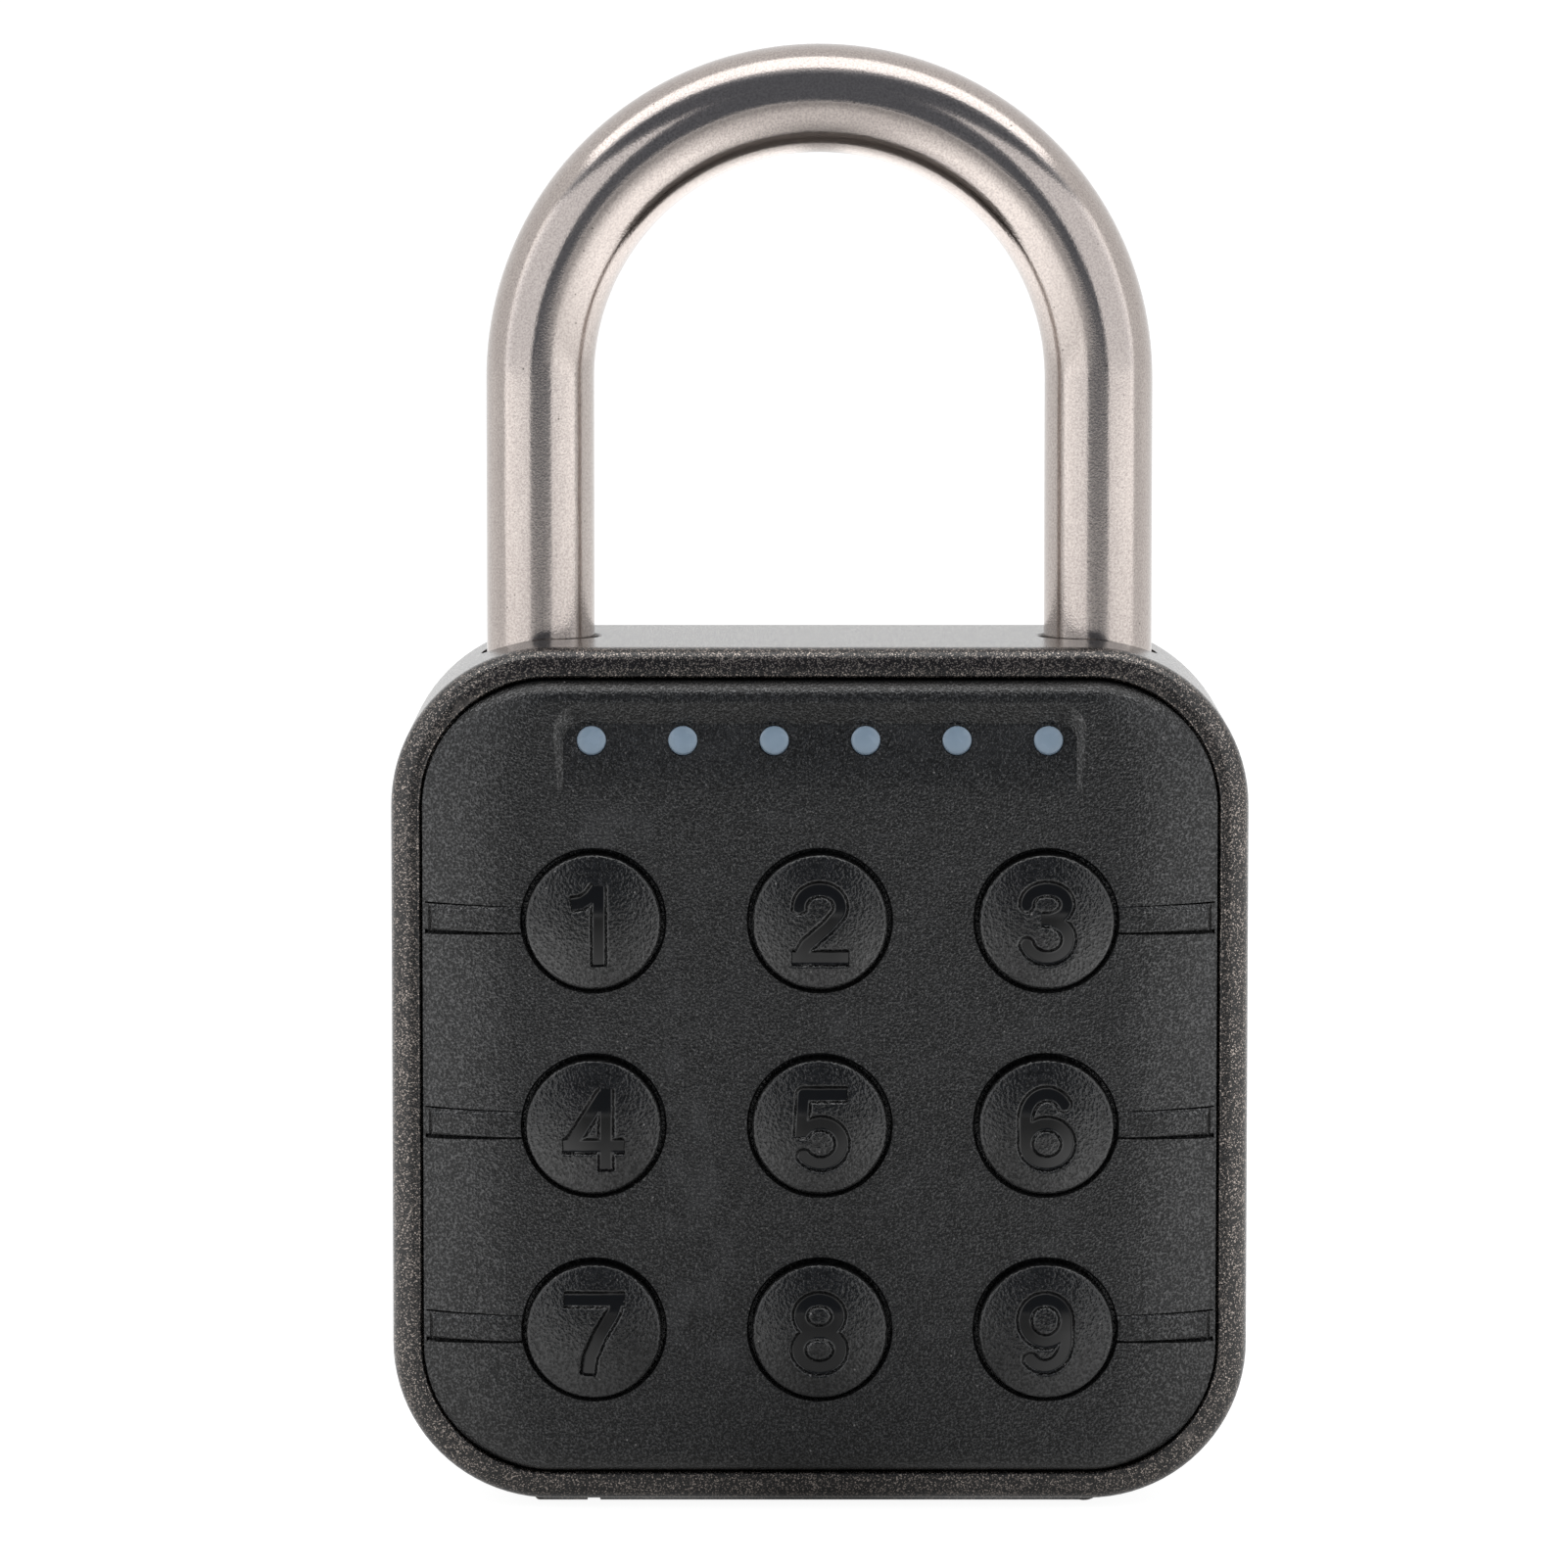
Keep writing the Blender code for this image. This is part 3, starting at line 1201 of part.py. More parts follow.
def make_latch_bolt():
    """The bolt: a bar with a bevelled nose at the toe leg and rack teeth at its back."""
    tip_depth = BOLT_BACK_DEPTH
    pitch_depth = tip_depth - TOOTH_ADDENDUM
    root_depth = pitch_depth - TOOTH_DEDENDUM
    pitch = math.pi * TOOTH_MODULE
    half_rack = (RACK_TEETH + 1) * pitch / 2
    shoe, front = depth_y(BOLT_SHOE_DEPTH), depth_y(BOLT_FRONT_DEPTH)
    root, back = depth_y(root_depth), depth_y(tip_depth)
    outline = [
        (-BOLT_TAIL, shoe),
        (BOLT_SHOE_END, shoe),
        (BOLT_SHOE_END, front),
        (BOLT_TIP_X, front),
        (BOLT_TIP_X, back),
        (half_rack, back),
        (half_rack, root),
        (-half_rack, root),
        (-half_rack, back),
        (-BOLT_TAIL, back),
    ]
    bolt = prism("latch_bolt", outline, "XY", BOLT_Z, BOLT_Z + BOLT_HEIGHT, STEEL)
    for index in range(RACK_TEETH):
        middle = (index - (RACK_TEETH - 1) / 2) * pitch
        tooth = rack_tooth_outline(middle, root_depth, tip_depth, pitch_depth)
        name = f"rack_tooth_{index}"
        boolean(bolt, prism(name, tooth, "XY", BOLT_Z, BOLT_Z + BOLT_HEIGHT), "UNION")
    top = BOLT_Z + BOLT_HEIGHT
    nose = [
        (BOLT_TIP_X - BOLT_NOSE_LENGTH, top + OVERRUN),
        (BOLT_TIP_X - BOLT_NOSE_LENGTH, top),
        (BOLT_TIP_X, top - BOLT_NOSE_SLOPE),
        (BOLT_TIP_X + OVERRUN, top - BOLT_NOSE_SLOPE),
        (BOLT_TIP_X + OVERRUN, top + OVERRUN),
    ]
    boolean(bolt, prism("nose_cutter", nose, "XZ", front - OVERRUN, back + OVERRUN))
    return set_origin(bolt, (BOLT_TIP_X, depth_y(LEG_DEPTH), BOLT_MIDDLE_Z))


def involute_half_angle(radius, base_radius, half_at_pitch):
    """Half of a gear tooth's angle at a radius, from involute geometry."""

    def spread(at):
        lean = math.acos(min(1.0, base_radius / at))
        return math.tan(lean) - lean

    if radius < base_radius:
        radius = base_radius
    return half_at_pitch + spread(PITCH_RADIUS) - spread(radius)


def make_drive_pinion():
    """The drive gear on the motor's output shaft, in mesh with the bolt's rack."""
    base_radius = PITCH_RADIUS * math.cos(math.radians(TOOTH_PRESSURE_DEGREES))
    tip_radius = PITCH_RADIUS + TOOTH_ADDENDUM
    root_radius = PITCH_RADIUS - TOOTH_DEDENDUM
    half_at_pitch = (math.pi / 2 - TOOTH_BACKLASH_SHARE / 2) / PINION_TEETH
    centre_y = depth_y(PINION_DEPTH)
    outline = []
    for tooth in range(PINION_TEETH):
        # A gap faces the rack's middle tooth, so a tooth is half a pitch to its side.
        middle = -math.pi / 2 + (tooth + 0.5) * 2 * math.pi / PINION_TEETH
        flank = []
        for step in range(TOOTH_FLANK_STEPS + 1):
            radius = root_radius + (tip_radius - root_radius) * step / TOOTH_FLANK_STEPS
            flank.append((radius, involute_half_angle(radius, base_radius, half_at_pitch)))
        for radius, half in flank:
            outline.append((radius, middle - half))
        for radius, half in reversed(flank):
            outline.append((radius, middle + half))
    points = [(r * math.cos(a), centre_y + r * math.sin(a)) for r, a in outline]
    low = BOLT_MIDDLE_Z - PINION_HEIGHT / 2
    high = low + PINION_HEIGHT
    pinion = prism("drive_pinion", points, "XY", low, high, BRASS)
    shaft = rod(
        "pinion_shaft",
        (0, centre_y, MOTOR_TOP_Z - PINION_SHAFT_IN_MOTOR),
        (0, centre_y, high + PINION_SHAFT_ABOVE),
        PINION_SHAFT_RADIUS,
        sides=ROUND_STEPS // 2,
    )
    boolean(pinion, shaft, "UNION")
    return set_origin(pinion, (0, centre_y, BOLT_MIDDLE_Z))


def make_gear_motor():
    """A small motor can under its gearbox, with a bore for the output shaft."""
    front = PINION_DEPTH - MOTOR_THICKNESS / 2
    back = PINION_DEPTH + MOTOR_THICKNESS / 2
    half = MOTOR_WIDTH / 2
    split = MOTOR_TOP_Z - GEARBOX_LENGTH
    motor = block(
        "gear_motor",
        (-half, depth_y(front), split),
        (half, depth_y(back), MOTOR_TOP_Z),
        STEEL,
    )
    ring = []
    corner_steps = ROUND_STEPS // 4
    for corner, (side_x, side_y) in enumerate([(1, 1), (-1, 1), (-1, -1), (1, -1)]):
        for step in range(corner_steps + 1):
            angle = math.radians(90 * (corner + step / corner_steps))
            x = side_x * (half - MOTOR_CAN_CORNER) + MOTOR_CAN_CORNER * math.cos(angle)
            y = side_y * (MOTOR_THICKNESS / 2 - MOTOR_CAN_CORNER)
            ring.append((x, depth_y(PINION_DEPTH) + y + MOTOR_CAN_CORNER * math.sin(angle)))
    can = prism("motor_can", ring, "XY", MOTOR_BOTTOM_Z, split + MOTOR_BOSS_HEIGHT)
    boolean(motor, can, "UNION")
    axis = (0, depth_y(PINION_DEPTH))
    boss = rod(
        "motor_boss",
        (*axis, MOTOR_TOP_Z - MOTOR_BOSS_HEIGHT),
        (*axis, MOTOR_TOP_Z + MOTOR_BOSS_HEIGHT),
        MOTOR_BOSS_RADIUS,
    )
    boolean(motor, boss, "UNION")
    bore = rod(
        "motor_bore",
        (*axis, MOTOR_TOP_Z - PINION_SHAFT_IN_MOTOR - GAP),
        (*axis, MOTOR_TOP_Z + OVERRUN),
        PINION_SHAFT_RADIUS + PIN_GAP,
        sides=ROUND_STEPS // 2,
    )
    boolean(motor, bore)
    return set_origin(motor, (*axis, MOTOR_BOTTOM_Z))


def case_ring(inset, depth, low=CASE_BOTTOM):
    middle = (low + CASE_TOP) / 2
    half_height = (CASE_TOP - low) / 2 - inset
    return rounded_ring(
        CASE_HALF_WIDTH - inset,
        half_height,
        CASE_CORNER - inset,
        CASE_CORNER - inset,
        depth,
        middle,
    )


def make_lock_case():
    """The block that guides the legs and houses bolt, pinion, motor and cell."""
    rings = [case_ring(0, CASE_DEPTH), case_ring(0, CASE_BACK_DEPTH)]
    case = loft("lock_case", rings, ZINC)
    leg_y = depth_y(LEG_DEPTH)
    for name, x, bottom in (
        ("heel_bore", -LEG_X, SPRING_SEAT_Z),
        ("toe_bore", LEG_X, TOE_END_Z - GAP),
    ):
        bore = rod(
            name,
            (x, leg_y, bottom),
            (x, leg_y, CASE_TOP + OVERRUN),
            LEG_HOLE_RADIUS,
            sides=2 * ROUND_STEPS,
        )
        boolean(case, bore)
    front = depth_y(CASE_DEPTH) - OVERRUN
    back = depth_y(CASE_BACK_DEPTH) + OVERRUN
    bolt_channel = block(
        "bolt_channel",
        (-BOLT_TAIL - GAP, front, BOLT_Z - GAP),
        (LEG_X - SHACKLE_RADIUS / 2, depth_y(BOLT_BACK_DEPTH + GAP), BOLT_Z + BOLT_HEIGHT + GAP),
    )
    boolean(case, bolt_channel)
    pinion_reach = PITCH_RADIUS + TOOTH_ADDENDUM + GAP
    pinion_bay = block(
        "pinion_bay",
        (-pinion_reach, front, MOTOR_TOP_Z - OVERRUN),
        (pinion_reach, depth_y(PINION_DEPTH) + pinion_reach, BOLT_Z + BOLT_HEIGHT + OVERRUN),
    )
    boolean(case, pinion_bay)
    motor_bay = block(
        "motor_bay",
        (-MOTOR_WIDTH / 2 - GAP, front, MOTOR_BOTTOM_Z - GAP),
        (MOTOR_WIDTH / 2 + GAP, back, MOTOR_TOP_Z + GAP),
    )
    boolean(case, motor_bay)
    cell_bay = block(
        "cell_bay",
        (-CELL_BAY_HALF, front, CASE_BOTTOM - OVERRUN),
        (CELL_BAY_HALF, back, CELL_BAY_TOP),
    )
    boolean(case, cell_bay)
    pin_hole = rod(
        "heel_pin_hole",
        (HEEL_PIN_X, front, HEEL_PIN_Z),
        (HEEL_PIN_X, depth_y(CASE_BACK_DEPTH - HEEL_PIN_STOP + PIN_GAP), HEEL_PIN_Z),
        HEEL_PIN_RADIUS + PIN_GAP,
        sides=ROUND_STEPS // 2,
    )
    boolean(case, pin_hole)
    for index, (x, z) in enumerate(case_screw_places()):
        hole = rod(
            f"case_screw_hole_{index}",
            (x, front, z),
            (x, back, z),
            CASE_SCREW_RADIUS + HOLE_GAP,
            sides=ROUND_STEPS // 2,
        )
        boolean(case, hole)
    return set_origin(smooth_by_angle(case), (0, depth_y(CASE_BACK_DEPTH), CASE_BOTTOM))


def make_case_cover():
    """The plate over the lock case's bays, with countersunk screw holes."""
    rings = [
        case_ring(0, COVER_DEPTH, CELL_BAY_TOP),
        case_ring(0, COVER_DEPTH + COVER_THICKNESS, CELL_BAY_TOP),
    ]
    cover = loft("case_cover", rings, STEEL)
    for index, (x, z) in enumerate(case_screw_places()):
        grow = CASE_SCREW_HEAD + HOLE_GAP
        bm = bmesh.new()
        bmesh.ops.create_cone(
            bm,
            cap_ends=True,
            segments=ROUND_STEPS // 2,
            radius1=CASE_SCREW_RADIUS + HOLE_GAP,
            radius2=CASE_SCREW_HEAD_RADIUS + 2 * HOLE_GAP,
            depth=grow,
        )
        turn = Vector((0, 0, 1)).rotation_difference(Vector((0, -1, 0))).to_matrix()
        bmesh.ops.rotate(bm, verts=bm.verts, matrix=turn)
        middle = depth_y(COVER_DEPTH - HOLE_GAP + grow / 2)
        bmesh.ops.translate(bm, verts=bm.verts, vec=(x, middle, z))
        boolean(cover, mesh_object(f"countersink_{index}", bm))
        hole = rod(
            f"cover_hole_{index}",
            (x, depth_y(COVER_DEPTH) - OVERRUN, z),
            (x, depth_y(COVER_DEPTH + COVER_THICKNESS) + OVERRUN, z),
            CASE_SCREW_RADIUS + HOLE_GAP / 2,
            sides=ROUND_STEPS // 2,
        )
        boolean(cover, hole)
    return set_origin(cover, (0, depth_y(COVER_DEPTH), CELL_BAY_TOP))


def make_case_screw(index, x, z):
    """A long countersunk screw from the cover, through the case, into the back wall."""
    length = SHELL_DEPTH - SHELL_BACK + CASE_SCREW_BITE - COVER_DEPTH
    profile = [
        (0, 0),
        (CASE_SCREW_HEAD_RADIUS, 0),
        (CASE_SCREW_RADIUS, -CASE_SCREW_HEAD),
        (CASE_SCREW_RADIUS, -length),
        (0, -length),
    ]
    origin = (x, depth_y(COVER_DEPTH), z)
    screw = turned(f"case_screw_{index}", profile, origin, STEEL, "FRONT", steps=ROUND_STEPS // 2)
    return boolean(screw, screw_socket(f"case_screw_socket_{index}", (x, COVER_DEPTH, z)))


def make_battery_cell():
    """A cylindrical lithium cell, lying across the lock case's bay."""
    half = CELL_LENGTH / 2
    can_end = half - CELL_NUB_LENGTH
    profile = [
        (0, half),
        (CELL_NUB_RADIUS, half),
        (CELL_NUB_RADIUS, can_end),
        (CELL_RADIUS - CELL_EDGE, can_end),
        (CELL_RADIUS, can_end - CELL_EDGE),
        (CELL_RADIUS, -half + CELL_EDGE),
        (CELL_RADIUS - CELL_EDGE, -half),
        (0, -half),
    ]
    origin = (0, depth_y(CELL_DEPTH), CELL_Z)
    return turned("battery_cell", profile, origin, CELL_WRAP, "RIGHT")


def make_contact(name, side):
    """A plate against the bay's wall with a stud that reaches the cell's end."""
    outer = CELL_BAY_HALF - GAP
    inner = outer - CONTACT_PLATE
    middle_y = depth_y(CELL_DEPTH)
    half = CONTACT_WIDTH / 2
    low_x, high_x = sorted((side * inner, side * outer))
    plate = block(
        name,
        (low_x, middle_y - half, CELL_Z - half),
        (high_x, middle_y + half, CELL_Z + half),
        BRASS,
    )
    stud = rod(
        name + "_stud",
        (side * (CELL_LENGTH / 2 + GAP), middle_y, CELL_Z),
        (side * (inner + CONTACT_PLATE / 2), middle_y, CELL_Z),
        CONTACT_STUD_RADIUS,
        sides=ROUND_STEPS // 2,
    )
    boolean(plate, stud, "UNION")
    return set_origin(plate, (side * outer, middle_y, CELL_Z))


def hinge_rod(name, radius, longer=0.0, material=None):
    """A rod along the battery door's hinge, past both ends of its opening."""
    front = DOOR_FROM_RIM - GAP - HINGE_PIN_BITE - longer
    back = DOOR_BACK_DEPTH + GAP + HINGE_PIN_BITE + longer
    start = (HINGE_X, depth_y(front), HINGE_Z)
    end = (HINGE_X, depth_y(back), HINGE_Z)
    return rod(name, start, end, radius, material, sides=ROUND_STEPS // 2)


def make_battery_door():
    """The door under the cell: a plate with a hinge knuckle and a nail nick."""
    front, back = depth_y(DOOR_FROM_RIM), depth_y(DOOR_BACK_DEPTH)
    door = block(
        "battery_door",
        (-DOOR_RIGHT, front, 0),
        (HINGE_X + DOOR_EDGE, back, DOOR_THICKNESS),
        PAINT,
        bevel=DOOR_EDGE,
    )
    knuckle = rod(
        "door_knuckle",
        (HINGE_X, front, HINGE_Z),
        (HINGE_X, back, HINGE_Z),
        DOOR_KNUCKLE_RADIUS,
        sides=ROUND_STEPS,
    )
    boolean(door, knuckle, "UNION")
    boolean(
        door,
        rod(
            "door_pin_bore",
            (HINGE_X, front - OVERRUN, HINGE_Z),
            (HINGE_X, back + OVERRUN, HINGE_Z),
            HINGE_PIN_RADIUS + PIN_GAP,
            sides=ROUND_STEPS // 2,
        ),
    )
    nick_x = NICK_FROM_END - DOOR_RIGHT
    nick = rod(
        "nick_cutter",
        (nick_x, front - OVERRUN, 0),
        (nick_x, front + NICK_LENGTH, 0),
        NICK_RADIUS,
        sides=ROUND_STEPS // 2,
    )
    boolean(door, nick)
    return set_origin(door, (HINGE_X, depth_y((DOOR_FROM_RIM + DOOR_BACK_DEPTH) / 2), HINGE_Z))


def build():
    root = joint_empty("padlock_root", (0, 0, 0))
    fixed = [make_body_shell(), make_front_panel(), make_gasket(), make_board()]
    fixed += [make_light_guide(), make_lock_case(), make_case_cover(), make_gear_motor()]
    for index, (x, z) in enumerate(lamp_places(), start=1):
        fixed.append(make_chip(index, x, z))
    for index, (x, z) in enumerate(board_screw_places(), start=1):
        fixed.append(make_board_screw(index, x, z))
    for index, (x, z) in enumerate(case_screw_places(), start=1):
        fixed.append(make_case_screw(index, x, z))
    fixed += [make_heel_pin(), make_lift_spring(), make_battery_cell()]
    fixed += [make_contact("battery_contact_left", -1), make_contact("battery_contact_right", 1)]
    hinge_pin = hinge_rod("door_hinge_pin", HINGE_PIN_RADIUS, material=STEEL)
    fixed.append(set_origin(hinge_pin, (HINGE_X, depth_y(DOOR_FROM_RIM), HINGE_Z)))
    for number, x, z in button_places():
        button = make_button(number, x, z)
        switch, plunger = make_switch(number, x, z)
        fixed.append(switch)
        key = joint_empty(f"key_{number}_slide", (x, depth_y(-PANEL_PROUD), z))
        attach(button, key)
        attach(plunger, key)
        attach(key, root)
    for name, piece in (
        ("shackle_lift", make_shackle()),
        ("latch_slide", make_latch_bolt()),
        ("pinion_turn", make_drive_pinion()),
        ("door_swing", make_battery_door()),
    ):
        empty = joint_empty(name, piece.location)
        attach(piece, empty)
        attach(empty, root)
    for piece in fixed:
        attach(piece, root)


build()
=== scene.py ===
"""Dresses the push-button padlock and stands it in a plain pale studio."""

import math

import bmesh
import bpy
import numpy as np
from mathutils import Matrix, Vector


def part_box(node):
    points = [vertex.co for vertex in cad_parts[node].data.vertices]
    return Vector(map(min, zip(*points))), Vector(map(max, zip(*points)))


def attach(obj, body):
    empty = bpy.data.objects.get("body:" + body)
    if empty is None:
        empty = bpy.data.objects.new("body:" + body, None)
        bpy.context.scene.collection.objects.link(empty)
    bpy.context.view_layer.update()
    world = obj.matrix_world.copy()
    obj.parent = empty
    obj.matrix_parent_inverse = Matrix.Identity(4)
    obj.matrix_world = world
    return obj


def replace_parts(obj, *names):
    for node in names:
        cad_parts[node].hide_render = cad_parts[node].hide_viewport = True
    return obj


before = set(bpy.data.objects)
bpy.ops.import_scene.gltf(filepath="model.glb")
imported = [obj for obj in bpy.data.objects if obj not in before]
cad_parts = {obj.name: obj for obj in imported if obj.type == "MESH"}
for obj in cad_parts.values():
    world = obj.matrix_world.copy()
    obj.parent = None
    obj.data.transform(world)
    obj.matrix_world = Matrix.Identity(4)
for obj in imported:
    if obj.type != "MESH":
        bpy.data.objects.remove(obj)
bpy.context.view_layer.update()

MM = 0.001

# Camera, fitted to the photograph: the whole frame is 1601 pixels across
FRAME_PIXELS = 1601
FOCAL_PIXELS = 9000
SENSOR_MM = 36
CAMERA_PLACE = (-2.45 * MM, -609.6 * MM, 105.7 * MM)
CAMERA_PITCH_DEGREES = 5.3
CAMERA_NEAR = 10 * MM
CAMERA_FAR = 20000 * MM

# Body shell
SHELL_CORNER = 10.9 * MM
SHELL_WALL = 2.03 * MM
SHELL_BACK_WALL = 2.2 * MM
RIM_OUTER_ROUND = 1.4 * MM
RIM_INNER_ROUND = 0.22 * MM
BACK_ROUND = 2.4 * MM
LEDGE_WIDTH = 1.0 * MM
LEDGE_DEPTH = 4.6 * MM
LEG_HOLE_GAP = 0.4 * MM
LEG_HOLE_EDGE = 0.22 * MM
CORNER_STEPS = 22

# Front panel
PANEL_GAP = 0.16 * MM
PANEL_RISE = 1.65 * MM
PANEL_SIDE_ROLL = 6.7 * MM
PANEL_END_ROLL = 1.4 * MM
PANEL_PROUD = 1.55 * MM
PANEL_CEILING = 0.45 * MM
PANEL_SKIRT_WALL = 2.4 * MM
PANEL_SKIRT_DEPTH = 3.2 * MM
PANEL_ROLL_STEPS = 16
HOLE_LIP = 0.12 * MM

# Indicator pocket, and the light guide whose posts show in it
LAMP_COUNT = 6
LAMP_PITCH = 6.23 * MM
LAMP_BELOW_TOP = 6.25 * MM
LAMP_RADIUS = 1.0 * MM
LAMP_HOLE_GAP = 0.04 * MM
LAMP_DOME = 0.16 * MM
LAMP_DOME_STEPS = 6
LAMP_SIDES = 40
GUIDE_THICKNESS = 1.0 * MM
GUIDE_EDGE = 0.2 * MM
POCKET_BELOW_TOP = 3.85 * MM
POCKET_HALF_WIDTH = 17.95 * MM
POCKET_HEIGHT = 5.9 * MM
POCKET_DEPTH = 1.0 * MM
POCKET_TOP_SLOPE = 1.25 * MM
POCKET_SIDE_SLOPE = 0.45 * MM
POCKET_CORNER = 1.7 * MM
POCKET_LIP = 0.24 * MM
POCKET_LIP_INNER_SHARE = 0.4
POCKET_RUN_OUT = 0.01 * MM

# Side ribs
RIB_BUTTONS = (1, 4, 7)
RIB_OUTER_FROM_EDGE = 0.65 * MM
RIB_INNER_RISE = 0.06 * MM
RIB_OUTER_RISE = 0.38 * MM
RIB_INNER_HEIGHT = 1.67 * MM
RIB_OUTER_HEIGHT = 1.1 * MM
RIB_ROOT = 1.1 * MM
RIB_UPPER_RUN = 1.5
RIB_LOWER_RUN = 0.9
RIB_END_SLOPE = 0.5 * MM
RIB_EDGE = 0.1 * MM
RIB_SIDE_TURN_DEGREES = 45
RIB_END_TURN_DEGREES = 66
CREASE_UPPER_WIDTH = 0.11 * MM
CREASE_LOWER_WIDTH = 0.34 * MM
CREASE_DEPTH = 0.22 * MM
CREASE_INNER_SHARE = 0.35
RIB_STEPS = 10
RIB_EDGE_STEPS = 3

# Buttons
BUTTON_RADIUS = 4.61 * MM
BUTTON_HOLE_GAP = 0.27 * MM
BUTTON_HOLE_SIDES = 64
BUTTON_PROUD = 1.5 * MM
BUTTON_CROWN = 0.5 * MM
BUTTON_EDGE_ROUND = 0.35 * MM
BUTTON_FLANGE_REACH = 1.1 * MM
BUTTON_FLANGE_BEHIND = 0.3 * MM
BUTTON_FLANGE_THICKNESS = 0.8 * MM
BUTTON_POST_RADIUS = 1.4 * MM
BUTTON_GRID = 128
DIGIT_HEIGHT = 5.85 * MM
DIGIT_STROKE = 1.3 * MM
DIGIT_DEPTH = 0.35 * MM
DIGIT_WALL = 0.28 * MM
DIGIT_WALL_STRAIGHT = 0.7
DIGIT_WALL_SOFT = 0.3
DIGIT_POLISHED_FROM = 0.9
DIGIT_BELOW_MIDDLE = 0.08 * MM
DIGIT_ARC_STEP_DEGREES = 8

# Shackle
BAR_RADIUS = 3.75 * MM
BAR_SIDES = 64
BAR_PATTERN_LENGTH = 10 * MM
ARCH_STEPS = 90
LEG_STEPS = 14
TOE_DEPTH = 13.0 * MM
TOE_CHAMFER = 0.8 * MM
NECK_RADIUS = 2.5 * MM
HEAD_LENGTH = 2.8 * MM
NECK_LENGTH = 17.6 * MM
NECK_EDGE = 0.3 * MM
NOTCH_DEPTH = 2.2 * MM
NOTCH_HEIGHT = 3.6 * MM
NOTCH_ABOVE_END = 2.5 * MM

# Battery door
DOOR_THICKNESS = 2.5 * MM
DOOR_EDGE = 0.35 * MM
KNUCKLE_RADIUS = 1.4 * MM
KNUCKLE_EDGE = 0.15 * MM
KNUCKLE_SIDES = 48
HINGE_PIN_RADIUS = 0.45 * MM
HINGE_BORE_SIDES = 24
NICK_FROM_MIDDLE = 15.6 * MM
NICK_RADIUS = 0.45 * MM
NICK_LENGTH = 2.4 * MM
NICK_END_SHARE = 0.3
NICK_SIDES = 32
PIN_GAP = 0.1 * MM

# Mesh work: how far cutters overrun, steps in a quarter turn, and turns drawn as sharp edges
OVERRUN = 2.0 * MM
ROUND_STEPS = 8
EDGE_STEPS = 4
SHARP_DEGREES = 35
PANEL_SHARP_DEGREES = 28
BUTTON_SHARP_DEGREES = 62

# Turned forms: the two directions across each axis, and the axis itself
TURNING_AXES = {
    "Y": (Vector((1, 0, 0)), Vector((0, 0, 1)), Vector((0, 1, 0))),
    "Z": (Vector((1, 0, 0)), Vector((0, 1, 0)), Vector((0, 0, 1))),
}

# Patterns of the finishes that show, at their real sizes unless a comment says otherwise
HANDLED_SPOTS = 2.6 * MM
SPECK_SPACING = 0.6 * MM
COAT_GRAIN = 0.12 * MM
COAT_CLOUDS = 2.2 * MM
PANEL_GRAIN = 0.16 * MM
PANEL_FLOW = 14 * MM
BUTTON_GRAIN = 0.2 * MM
BUTTON_HANDLING = 2.5 * MM
DIGIT_HAZE = 0.6 * MM
GUIDE_SWIRL = 0.9 * MM
BAR_GRAIN = 0.14 * MM
BAR_CLOUDS = 7 * MM
# The coat's flakes measure about 0.04 mm and are drawn larger, so that they show
COAT_FLAKES = 0.075 * MM
# The bar's polishing lines are about 0.03 mm wide and are drawn at 0.15 mm, so that they show:
# 26 units round the bar and half a unit in every 10 mm along it, with six lines to a unit
BAR_LINE_UNITS = (26.0, 0.5, 1.0)
BAR_LINES_TO_A_UNIT = 6.0
# Most of a noise pattern's values lie in this span
NOISE_SPAN = {"From Min": 0.3, "From Max": 0.7}

# Card: its outline in metres, and how much it glows to the eye and in mirrors; in mirrors the glow holds a
# painted reflection and a painted shadow
CARD_HALF_WIDTH = 3.0
CARD_FRONT = -1.05
CARD_TURN_START = 1.2
CARD_TURN_RADIUS = 0.6
CARD_TURN_STEPS = 16
CARD_HEIGHT = 2.2
CARD_SEEN_NEAR = 0.93
CARD_SEEN_FAR = 0.97
CARD_NEAR_DEPTH = 0.1
CARD_FAR_DEPTH = 0.6
MIRRORED_FRONT = 0.08
# Painted reflection: in mirrors the card glows brighter beside the padlock than before it
PAINTED_GLOW_BESIDE = 1.05
MIRRORED_FAR = 0.98
CARD_MIDDLE_SLANT = 0.12
CARD_SIDE_SLANT = 0.5
CARD_LEAST_AHEAD = 20 * MM
MIRRORED_AWAY = 0.75
CARD_AWAY_FROM = 0.6
CARD_AWAY_WHOLLY = 0.68
# Painted reflection: mirrors that see the card steeply see it glow more
PAINTED_GLOW_STEEP = 0.7
CARD_GRAZING_FACING = 0.88
CARD_STEEP_FACING = 0.55
# Painted shadow: within these reaches of the padlock, the card's glow in mirrors falls to this share of
# itself
CARD_PAINTED_SHADOW_REACH = 20 * MM
CARD_PAINTED_SHADOW_END = 90 * MM
CARD_PAINTED_SHADOW_SHARE = 0.22

# Tent: its light and the dark room's, and the directions between which one gives way to the other
ROOM_LEVEL = 0.22
TENT_LEVEL = 1.0
ROOM_DEPTH_SHARE = -0.42
TENT_DEPTH_SHARE = -0.12
ROOM_HEIGHT_SHARE = 0.82
TENT_HEIGHT_SHARE = 0.97
WHITE = (1, 1, 1, 1)

# Softboxes: degrees from the front to the right, degrees up, metres away, width and height, radiance
SOFTBOX_AIM = Vector((0, 0, 50 * MM))
SOFTBOXES = {
    "left_softbox": (-51, 17, 0.4, (0.46, 0.29), 1.07),
    "right_softbox": (51, 17, 0.4, (0.46, 0.29), 1.07),
    "top_softbox": (0, 84, 0.8, (1.7, 0.42), 1.7),
}

